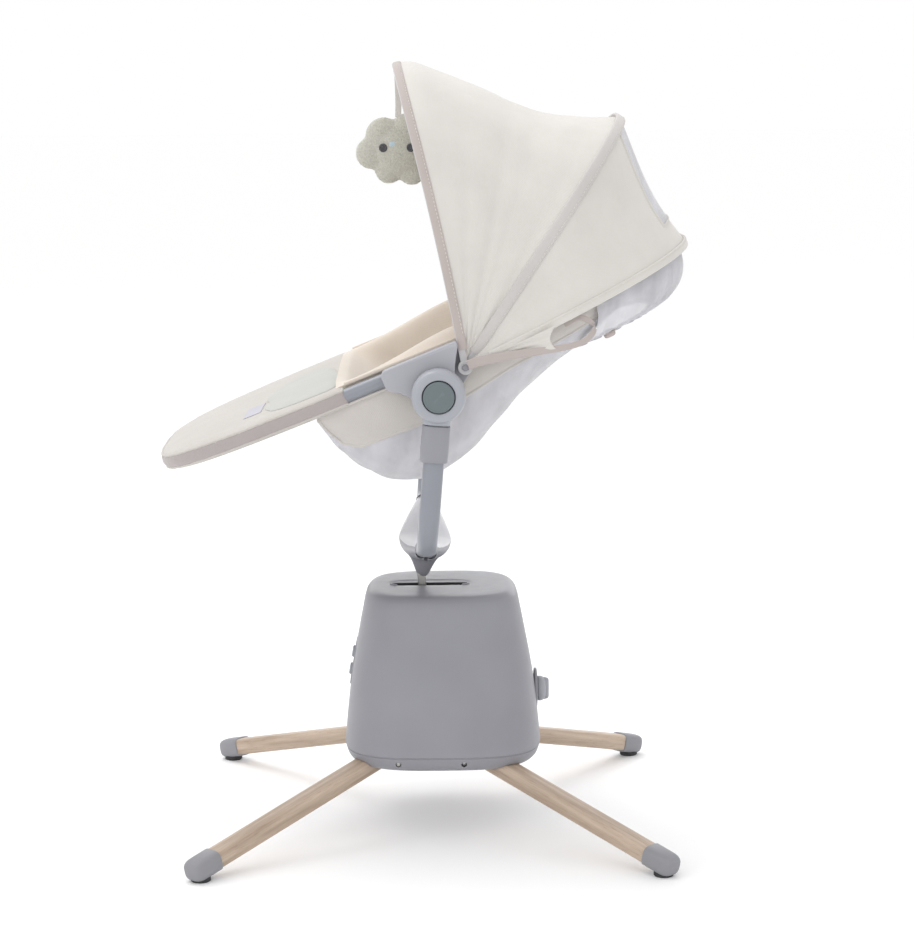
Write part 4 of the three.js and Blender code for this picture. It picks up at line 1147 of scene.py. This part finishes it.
def add_calf_panel(surface):
    """A thin quilted panel laid on the pad, where the seat's cover ends, and the care label."""
    raised = on_top_of(surface, 0.5)
    outline = [(-206, -175), (-217, -130), (-214, -84), (-220, -38), (-212, 20), (-194, 63),
               (-158, 86), (-138, 66), (-126, 20), (-114, -96), (-116, -160), (-125, -196),
               (-167, -194), (-192, -188)]
    closed = [Vector((u, v, 0)) for u, v in outline + outline[:1]]
    edge = evenly(smooth_curve(closed, 6), 90)[:-1]
    middle = sum(edge, Vector()) / len(edge)
    rows = []
    for part in (0, 0.015, 0.05, 0.12, 0.25, 0.42, 0.62, 0.82, 0.99):
        rise = 2.6 * min(part / 0.12, 1) ** 0.5
        rows.append([raised(*p.lerp(middle, part).xy, rise) for p in edge])
    skin = Skin().grid(rows, wrap=True)
    skin.cap(len(edge) * (len(rows) - 1), len(edge))
    panel = sewn("calf_panel", skin, PALE_PAD, modifiers=[thickness(0.8)])
    label = [[raised(-247 + 24 * a + 3 * b, -140 + 78 * b) for a in (0, 0.25, 0.5, 0.75, 1)]
             for b in (0, 0.2, 0.4, 0.6, 0.8, 1)]
    tag = piece("care_tag", Skin().grid(label), TAG, "seat", place=SEAT,
                modifiers=[thickness(0.4, 0)])


# ---- Liner, pouch and skirt ------------------------------------------------------------------

POUCH_BOTTOM = [(-153, -20), (-154, -46), (-145, -88), (-112, -139), (-62, -160), (4, -148),
                (60, -120), (134, -84), (215, -57), (300, -30), (338, -16)]
LINER_BOTTOM = [(-118, 15.5), (-106, 9), (-96, -10), (-78, -46), (-56, -92), (-26, -124), (8, -121),
                (52, -93), (134, -55), (215, -30), (300, -12), (328, 0), (339.5, 11)]
POUCH_RIM = -12.2
POUCH_POWER = 2.3
POUCH_SEAM = [(-152, -17), (-146, -36), (-136, -56), (-117, -68), (-38, -69), (30, -58), (95, -46),
              (130, -43), (215, -33), (300, -21), (338, -14)]


def trough(bottom, rim, half_width, exponent, columns, steps, shape=None, span=None):
    """Rows along the seat of a rounded trough.

    shape says how far to move each point outwards, and span gives a row's first and last angle.
    """
    rows = []
    for u, n in [(p.x, p.y) for p in smooth_curve([Vector((a, b, 0)) for a, b in bottom], steps)]:
        start, end = span(u, n) if span else (0.0, pi)
        row = []
        for c in range(columns + 1):
            angle = start + (end - start) * c / columns
            v = -half_width(u) * signed_power(cos(angle), 2 / exponent)
            height = rim(u) + (n - rim(u)) * signed_power(sin(angle), 2 / exponent)
            point = Vector((u, v, height))
            if shape:
                point += shape(point, angle) * Vector((0, -cos(angle), -sin(angle)))
            row.append(point)
        rows.append(row)
    return rows


LINER_EDGE = 12.5                   # height of the liner where it meets the ring
LINER_GROW = -11.5                  # the ring's outline grown by this is the liner's
CREST_INSET = 26
SOFTENING_PASSES = 16


def liner_rim(u):
    """Height of the liner's crest, which is highest beside the hubs."""
    return LINER_EDGE + 25 * exp(-(((u - 42) / 98) ** 2))


def crest_half_width(u):
    whole = seat_half_width(u, LINER_GROW)
    return whole - min(CREST_INSET, whole * 0.45)


def softened(row):
    """Rounds a row of points without moving its ends."""
    for _ in range(SOFTENING_PASSES):
        row = row[:1] + [(a + b * 2 + c) / 4 for a, b, c in zip(row, row[1:], row[2:])] + row[-1:]
    return row


def add_liner():
    """The padded cover inside the ring: quilted in soft channels, with a bound edge."""
    def quilt(point, angle):
        depth = 1.5 * abs(sin(pi * point.x / 52)) + 0.8 * ripple(point, 40, 3)
        return -depth * min(sin(angle) * 3, 1)

    rows = []
    for row in trough(LINER_BOTTOM, liner_rim, crest_half_width, 2.5, 64, 8, quilt):
        slopes = []
        for end in (row[0], row[-1]):
            edge = Vector((end.x, copysign(seat_half_width(end.x, LINER_GROW) - 1, end.y),
                           LINER_EDGE))
            slopes.append([Vector((end.x, edge.y + (end.y - edge.y) * (1 - cos(part * pi / 2)),
                                   edge.z + (end.z - edge.z) * sin(part * pi / 2)))
                           for part in (0, 0.15, 0.3, 0.45, 0.6, 0.75, 0.9)])
        rows.append(softened(slopes[0] + row + slopes[1][::-1]))
    liner = piece("seat_cushion", Skin().grid(rows), BEIGE, "seat", ["seat_liner"], SEAT, LIMP,
                  modifiers=[thickness(7.0)])
    for name, side in SIDES:
        band = [Vector((u, side * (seat_half_width(u, -10.2) - 1), 13.0))
                for u in range(-106, 62, 6)]
        piece(f"liner_band_{name}", sweep(band, oval(2.6, 1.6, 2.4, 12), (0, 0, 1)), BEIGE, "seat",
              place=SEAT, sharp=LIMP)


def seam_angle(u, n):
    """Where the pouch's seam crosses a row, as the trough's angle."""
    for (u0, n0), (u1, n1) in zip(POUCH_SEAM, POUCH_SEAM[1:]):
        if u <= u1:
            break
    height = n0 + (n1 - n0) * min(max((u - u0) / (u1 - u0), 0), 1)
    part = min(max((height - POUCH_RIM) / (n - POUCH_RIM), 0.1), 0.8)
    return asin(part ** (POUCH_POWER / 2))


def add_pouch():
    """The cloth under the ring: opaque along the top, mesh below, gathered at the front."""
    def gathers(point, angle):
        front = exp(-(((point.x + 150) / 60) ** 2))
        low = sin(angle)
        folds = 1.9 * sin(point.y / 9 + point.x / 30 + 1.5 * sin(point.z / 30)) * front * low
        drape = 4.6 * ripple((point.x * 0.7, point.y * 0.35, point.z * 1.6), 46, 1) * low
        return folds + drape

    def cloth(columns, span):
        return trough(POUCH_BOTTOM, lambda u: POUCH_RIM, lambda u: seat_half_width(u, -2),
                      POUCH_POWER, columns, 9, gathers, span)

    below = cloth(52, lambda u, n: (seam_angle(u, n), pi - seam_angle(u, n)))
    net = piece("pouch_mesh", Skin().grid(below), NET, "seat", ["seat_sling"], SEAT, LIMP)
    spans = {"left": lambda u, n: (0.0, seam_angle(u, n)),
             "right": lambda u, n: (pi - seam_angle(u, n), pi)}
    for name, side in SIDES:
        rows = cloth(14, spans[name])
        cover = sewn(f"pouch_side_{name}", Skin().grid(rows), POUCH, modifiers=[thickness(1.2)])
        seam = [row[0 if side < 0 else -1] for row in below]
        sewn(f"pouch_seam_{name}", sweep(seam, oval(2.4, 0.9, 2.4, 10), (0, 0, 1)), POUCH)
    rim = even_outline(240, -1, -10.5)
    sewn("pouch_binding", sweep(rim, oval(2.4, 5.0, 2.4, 12), (0, 0, 1), loop=True), POUCH)


def drop_loose(obj):
    """Removes points that no face uses."""
    work = bmesh.new()
    work.from_mesh(obj.data)
    bmesh.ops.delete(work, geom=[v for v in work.verts if not v.link_faces], context="VERTS")
    work.to_mesh(obj.data)
    work.free()


SKIRT_TUCK = 60
SKIRT_DROP = 52


def add_head_skirt():
    """Mesh hanging under the head end, drawn in at its lower edge by a cord with a toggle."""
    rows = []
    for k in range(15):
        part = k / 14
        row = []
        for i in range(121):
            t = (i / 120 * 2 - 1) * 0.98
            fold = 4.2 * sin(i * 0.9 + 1.5 * sin(i * 0.21)) * part
            tuck = SKIRT_TUCK * (1 - cos(part * pi / 2))
            drop = SKIRT_DROP * sin(part * pi / 2)
            row.append(seat_outline(t, 4.5 - tuck + fold * (0.4 + part), -9 - drop))
        rows.append(row)
    skirt = piece("head_mesh", Skin().grid(rows), NET, "seat", ["head_skirt"], SEAT, LIMP)
    hem = [p.copy() for p in rows[-1]]
    edge = piece("head_hem", sweep(hem, oval(2.2, 1.6, 2, 8), (0, 0, 1)), NET, "seat", place=SEAT,
                 sharp=LIMP)
    barrel = round_corners([(0, -7), (4.6, -7), (5.4, -3), (5.4, 4), (4.4, 7.5), (0, 7.5)], 1.6)
    end = hem[13]
    piece("cord_toggle", lathe(barrel, 32), BINDING, "seat",
          place=SEAT @ shift(end.x, end.y - 4, end.z - 2) @ turn(radians(-70), "Z"), sharp=60,
          slot="dark_trim")


# ---- Harness ---------------------------------------------------------------------------------

def add_strap(name, path, across):
    """A flat strap of 25 mm webbing; across is the direction of its width."""
    line = evenly(smooth_curve(path, 8), 48)
    piece(name, sweep(line, oval(12.5, 0.8, 6, 16), across), TAPE, "seat", place=SEAT, sharp=50)


def add_harness():
    """Buckle, crotch strap, two waist straps and two shoulder straps lying in the seat."""
    place = SEAT @ shift(12, 0, -92) @ turn(-0.35, "Y")
    rings = []
    for z, scale in ((-6.4, 0.72), (-7, 0.8), (-6.2, 0.9), (-4, 0.98), (0, 1), (3, 0.98),
                     (5.6, 0.9), (6.8, 0.8), (7, 0.7)):
        rings.append(flat_ring(24 * scale, 19 * scale, 3, z, count=72))
    buckle = piece("buckle", loft(rings), GREY, "seat", ["harness_buckle"], place, 60)
    upright = place @ turn(pi / 2, "X")
    cut(buckle, cutter("buckle_well", [(rod(8.4, -0.5, 20, 48), upright)]), 60)
    press = round_corners([(0, 3.6), (8, 3.6), (8, 7.2), (6.8, 7.8), (0, 7.4)], 0.6)
    piece("buckle_press_cap", lathe(press, 48), TEAL, "buckle_button", ["buckle_button"],
          upright, 60)
    add_strap("strap_crotch", [(-10, 0, -100), (-24, 0, -107), (-38, 0, -106), (-48, 0, -98)],
              (0, 1, 0))
    for name, side in SIDES:
        add_strap(f"strap_waist_{name}", [(12, side * 18, -92), (14, side * 50, -100),
                                          (16, side * 92, -93), (20, side * 120, -80),
                                          (22, side * 138, -66)], (1, 0, 0))
        add_strap(f"strap_shoulder_{name}", [(30, side * 12, -84), (52, side * 30, -76),
                                             (86, side * 48, -61), (140, side * 54, -42),
                                             (200, side * 54, -27)], (0, 1, 0))


# ---- Canopy ----------------------------------------------------------------------------------

CANOPY_X, CANOPY_Z = 47, 636         # the axis on which both hoops fold
CANOPY_PIVOT = shift(CANOPY_X, 0, CANOPY_Z)
FRONT = {"angle": 102.8, "length": 382, "half_width": 227, "bow": 4}
MIDDLE = {"angle": 55.5, "length": 366, "half_width": 222, "bow": -1}
REAR = {"angle": 25.8, "length": 325, "half_width": 231, "bow": 0}
HOOP_POWER = 2.5
CLOTH_START = 13                    # how far from the pivot the cloth begins
ARCH_STEPS = 400


def arch(length, half_width, angle, part, bow, lift=0.0):
    """A point of an arch over the canopy's pivots; lift moves it square to the arch's plane."""
    r = length * sin(pi * part) ** (2 / HOOP_POWER)
    along = Vector((cos(angle), 0, sin(angle)))
    square = Vector((sin(angle), 0, -cos(angle)))
    point = Vector((CANOPY_X, -half_width * signed_power(cos(pi * part), 2 / HOOP_POWER), CANOPY_Z))
    return point + along * r + square * (bow * sin(pi * r / length) + lift)


def arch_path(hoop, start=0.0, lift=0.0, out=0.0):
    """A hoop's line, finest near the pivots; out grows it, and lift moves it off its plane."""
    points = []
    for i in range(ARCH_STEPS + 1):
        even = start + (1 - 2 * start) * i / ARCH_STEPS
        part = even - 0.35 * sin(2 * pi * even) / (2 * pi)
        points.append(arch(hoop["length"] + out, hoop["half_width"] + out, radians(hoop["angle"]),
                           part, hoop["bow"], lift))
    return points


def lean_of(hoop):
    """The direction square to a hoop's plane."""
    angle = radians(hoop["angle"])
    return Vector((sin(angle), 0, -cos(angle)))


def add_hoop(name, hoop, body):
    """A flat sprung strip with an eyelet at each end, in a sewn casing."""
    path = evenly(arch_path(hoop), 160)
    piece(f"{name}_strip", sweep(path, oval(4.5, 1.5, 5, 16), lean_of(hoop)), HOOP, body,
          [f"canopy_{name}_hoop"], sharp=50)
    for side_name, side in SIDES:
        middle = side * hoop["half_width"]
        y0, y1 = middle - 1.7, middle + 1.7
        eyelet = [(4.3, y0 + 0.4), (4.8, y0), (8.6, y0), (9.2, y0 + 0.6), (9.2, y1 - 0.6),
                  (8.6, y1), (4.8, y1), (4.3, y1 - 0.4), (4.3, y0 + 0.4)]
        piece(f"{name}_eyelet_{side_name}", lathe(eyelet, 40), HOOP, body,
              place=CANOPY_PIVOT)


def add_casing(name, hoop, body, wide, back, look):
    """The sewn channel round a hoop, with a row of stitches behind it."""
    path = evenly(arch_path(hoop, 0.014, back), 160)
    section = [(a, b + (0.5 if b > 0 else 0)) for a, b in oval(wide, 2.3, 2.6, 20)]
    piece(f"{name}_casing", sweep(path, section, lean_of(hoop)), look, body, sharp=LIMP)
    line = evenly(arch_path(hoop, 0.03, back + wide * 0.62, 2.2), 700)
    stitches(f"{name}_stitches", line, body)


def canopy_grid(near, far, sag, rows, columns, folds, skew=1.0):
    """Cloth between two arches. sag pulls it in, most towards far if skew is over 1."""
    grid = []
    for row in range(rows + 1):
        t = row / rows
        size = {key: near[key] + (far[key] - near[key]) * t for key in near}
        angle = radians(size["angle"])
        ends = asin((CLOTH_START / size["length"]) ** (HOOP_POWER / 2)) / pi
        line = []
        for c in range(columns + 1):
            across = c / columns
            even = across - 0.3 * sin(2 * pi * across) / (2 * pi)
            part = ends + (1 - 2 * ends) * even
            r = size["length"] * sin(pi * part) ** (2 / HOOP_POWER)
            out = folds(t, r, across) - sag * sin(pi * t**skew) ** 0.9 * min(r / 60, 1)
            scale = 1 + out / size["length"]
            line.append(arch(size["length"] * scale, size["half_width"] + out * 0.12, angle, part,
                             size["bow"]))
        grid.append(line)
    return grid


def pleats(t, r, counts, depth, reach):
    """Folds that spread from the pivot like a fan and die away towards the top."""
    wave = sum(weight * sin(2 * pi * count * t + phase) for count, weight, phase in counts)
    return depth * wave * exp(-((r / reach) ** 2)) * sin(pi * t) ** 0.5 * min(r / 40, 1)


def front_folds(t, r, across):
    """Folds of the front panel: t goes from hoop to hoop, and r is the distance from the pivot."""
    fan = pleats(t, r, ((3, 0.6, 0.4), (5, 0.5, 2.0), (8, 0.25, 4.0)), 6.5, 210)
    drape = 2.4 * ripple((t * 120, r * 0.35, across * 30), 34, 4) * sin(pi * t)
    slack = 1.8 * sin(r / 13 + t * 24) * exp(-(((t - 0.24) / 0.15) ** 2) - ((r - 235) / 85) ** 2)
    lip = 4.0 * exp(-(((t - 0.07) / 0.07) ** 2)) * min(t / 0.03, 1) * min(r / 300, 1) ** 2
    return fan * 1.5 + drape * 1.4 + slack + lip


def rear_folds(t, r, across):
    fan = pleats(t, r, ((2, 0.5, 1.0), (4, 0.5, 2.6), (6, 0.2, 5.0)), 4.2, 170)
    drape = 1.8 * ripple((t * 90, r * 0.3, across * 30), 38, 6) * sin(pi * t)
    return fan + drape


def fold_planes(near, far, reach):
    """Two points in metres, reach millimetres to either side of a point 200 mm from the pivot,
    midway between two arches.
    """
    middle = radians((near["angle"] + far["angle"]) / 2)
    across = Vector((-sin(middle), 0, cos(middle)))
    centre = CANOPY_PIVOT.translation + Vector((cos(middle), 0, sin(middle))) * 200
    low = (centre - across * reach + CENTRED) / 1000
    high = (centre + across * reach + CENTRED) / 1000
    return tuple(low), tuple(high)


REAR_COLUMNS, REAR_ROWS = 120, 36
WINDOW_COLUMNS = (50, 70)
WINDOW_ROWS = (1, 28)


def add_canopy():
    """Two hoops, the sewn panels between and behind them, and a mesh window at the back."""
    add_hoop("front", FRONT, "canopy_front")
    add_hoop("mid", MIDDLE, "canopy_mid")
    add_casing("front", FRONT, "canopy_front", 5.8, 1.6, BINDING)
    add_casing("mid", MIDDLE, "canopy_mid", 7.0, 0.0, CASING)
    grid = canopy_grid(FRONT, MIDDLE, 47, 48, 160, front_folds, 1.35)
    panel = piece("canopy_front_panel", Skin().grid(grid), CREAM, None, ["canopy_front_fabric"],
                  sharp=LIMP, modifiers=[thickness(1.2)])
    low, high = fold_planes(MIDDLE, FRONT, 100)
    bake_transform(panel)
    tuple(low)
    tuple(high)
    add_rear_panel()
    add_rear_hem()


def add_rear_panel():
    """The rear cloth, with its window cut out and filled with mesh, and tape round the window."""
    grid = canopy_grid(MIDDLE, REAR, 23, REAR_ROWS, REAR_COLUMNS, rear_folds)
    whole, cloth, window = Skin().grid(grid), Skin(), Skin()
    cloth.points = window.points = whole.points
    (first, last), (near, far) = WINDOW_ROWS, WINDOW_COLUMNS
    for index, (face, place) in enumerate(zip(whole.faces, whole.cloth)):
        row, column = divmod(index, REAR_COLUMNS)
        target = window if first <= row < last and near <= column < far else cloth
        target.faces.append(face)
        target.cloth.append(place)
    line = [grid[r][near] for r in range(first, last)] + grid[last][near:far]
    line += [grid[r][far] for r in range(last, first - 1, -1)]
    rear = piece("canopy_rear_panel", cloth, CREAM, None, ["canopy_rear_fabric"], sharp=LIMP,
                 modifiers=[("WELD", {"merge_threshold": 0.000001}), thickness(1.2)])
    drop_loose(rear)
    mesh = piece("canopy_window", window, NET, sharp=LIMP)
    drop_loose(mesh)
    line = evenly(round_corners(line, 12), 120)
    tape = piece("window_tape", sweep(line, oval(2.2, 1.0, 3, 10), (0.6, 0, 1)), CREAM, sharp=LIMP)
    low, high = fold_planes(REAR, MIDDLE, 65)
    for obj in (rear, mesh, tape):
        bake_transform(obj)
        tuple(low)
        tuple(high)


STRAP_LINE = [(3, 4), (18, 9), (58, 16), (115, 23), (144, 29)]   # along and up from the pivot
FLAP_START, FLAP_END, FLAP_SLOPE = 21, 112, 0.466
FLAP_ROWS, FLAP_COLUMNS = 12, 24
STRAP_LOOP = [(50, 236, 640), (65, 236, 645), (105, 236, 652), (162, 229, 659), (191, 222, 665),
              (206, 216, 676), (208, 212, 685), (200, 209, 692), (188, 208, 695), (171, 209, 686)]


def strap_height(along):
    """How high the flap's lower edge is above the pivot."""
    for (a, low), (b, high) in zip(STRAP_LINE, STRAP_LINE[1:]):
        if along <= b:
            break
    return low + (high - low) * (along - a) / (b - a)


def add_rear_hem():
    """The bound lower edge of the rear panel, and the strap that loops from the pivot."""
    path = evenly(arch_path(REAR, 0.03), 150)
    piece("rear_hem", sweep(path, oval(5.5, 1.8, 2.6, 16), lean_of(REAR)), CREAM, "seat",
          sharp=LIMP)
    stitches("rear_hem_stitches", evenly(arch_path(REAR, 0.04, -3.2, 2.0), 600), "seat")
    for name, side in SIDES:
        rows = []
        for k in range(FLAP_ROWS + 1):
            down = k / FLAP_ROWS
            end = FLAP_END - 7 * sin(pi * down)
            line = []
            for c in range(FLAP_COLUMNS + 1):
                along = FLAP_START + (end - FLAP_START) * c / FLAP_COLUMNS
                top, bottom = along * FLAP_SLOPE, strap_height(along)
                y = side * (230.6 + 1.1 * sin(k * 1.25 + 0.6) * min(c / 8, 1))
                line.append(CANOPY_PIVOT @ Vector((along, y, top + (bottom - top) * down)))
            rows.append(line)
        flap = piece(f"canopy_flap_{name}", Skin().grid(rows), CREAM, "seat", sharp=LIMP,
                     modifiers=[thickness(1.0, 0)])
        line = evenly(smooth_curve([(x, side * y, z) for x, y, z in STRAP_LOOP], 8), 70)
        taper = [1 - 0.42 * min(k / 45, 1) for k in range(71)]
        piece(f"hem_strap_{name}", sweep(line, oval(6.4, 1.2, 3, 14), (-0.3, 0, 1), scales=taper),
              BINDING, "seat", sharp=60)


# ---- Toy -------------------------------------------------------------------------------------

TOY_X, TOY_Z = -34, 895
TOY_FACES = (("front", -1), ("back", 1))
LOBE_STEPS, LOBE_SIDES = 16, 28
LOBES = [(0, 2, 36), (-36, -2, 22), (34, 0, 24), (-20, 20, 25), (14, 24, 27), (-14, -24, 19),
         (16, -26, 19)]


def add_toy():
    """A stuffed cloud with two round eyes, hanging from the front hoop on a ribbon."""
    skin = Skin()
    for dx, dz, radius in LOBES:
        rings = []
        for k in range(1, LOBE_STEPS):
            angle = pi * k / LOBE_STEPS
            out, z = radius * sin(angle), dz + radius * cos(angle)
            turns = [2 * pi * i / LOBE_SIDES for i in range(LOBE_SIDES)]
            rings.append([Vector((dx + out * cos(t), 0.42 * out * sin(t), z)) for t in turns])
        first = len(skin.points)
        skin.grid(rings, wrap=True)
        skin.cap(first, LOBE_SIDES, flip=True)
        skin.cap(len(skin.points) - LOBE_SIDES, LOBE_SIDES)
    place = shift(TOY_X, 0, TOY_Z)
    cloud = piece("cloud", skin, PLUSH, "toy", ["toy_cloud"], place, LIMP,
                  modifiers=[remeshed(2.2), ("SMOOTH", {"iterations": 10, "factor": 0.6}),
                             SUBDIVIDED])
    eye = round_corners([(0, 0), (5.6, 0), (5.6, 1.6), (4.2, 2.6), (3, 1.4), (2, 1.6), (0, 2)], 0.5)
    for name, x in (("left", -21), ("right", 15)):
        for face, side in TOY_FACES:
            piece(f"eye_{name}_{face}", lathe(eye, 32), EYE, "toy",
                  place=place @ shift(x, side * 12.6, 5) @ facing(side), sharp=60)
    for face, side in TOY_FACES:
        rings = [[Vector((a * s, side * (13.6 + h), b * s)) for a, b in oval(5, 4, 2, 24)]
                 for s, h in ((1, 0), (0.8, 0.6), (0.3, 0.9))]
        piece(f"cheek_{face}", loft(rings), CHEEK, "toy", place=place @ shift(-8, 0, 9), sharp=LIMP)
    ribbon = [Vector((-35 + 0.5 * sin(k / 3), 0, TOY_Z + 44 + 64 * k / 14)) for k in range(15)]
    piece("toy_ribbon", sweep(ribbon, oval(4, 0.7, 6, 14), (1, 0, 0)), CREAM, "toy", ["toy_strap"],
          sharp=50)


# ---- All together ----------------------------------------------------------------------------

add_camera()
add_stage()
add_legs()
add_housing()
add_base_details()
dress_inside()
add_yoke()
add_seat_frame()
add_foot_pad()
add_liner()
add_pouch()
add_head_skirt()
add_harness()
add_canopy()
add_toy()
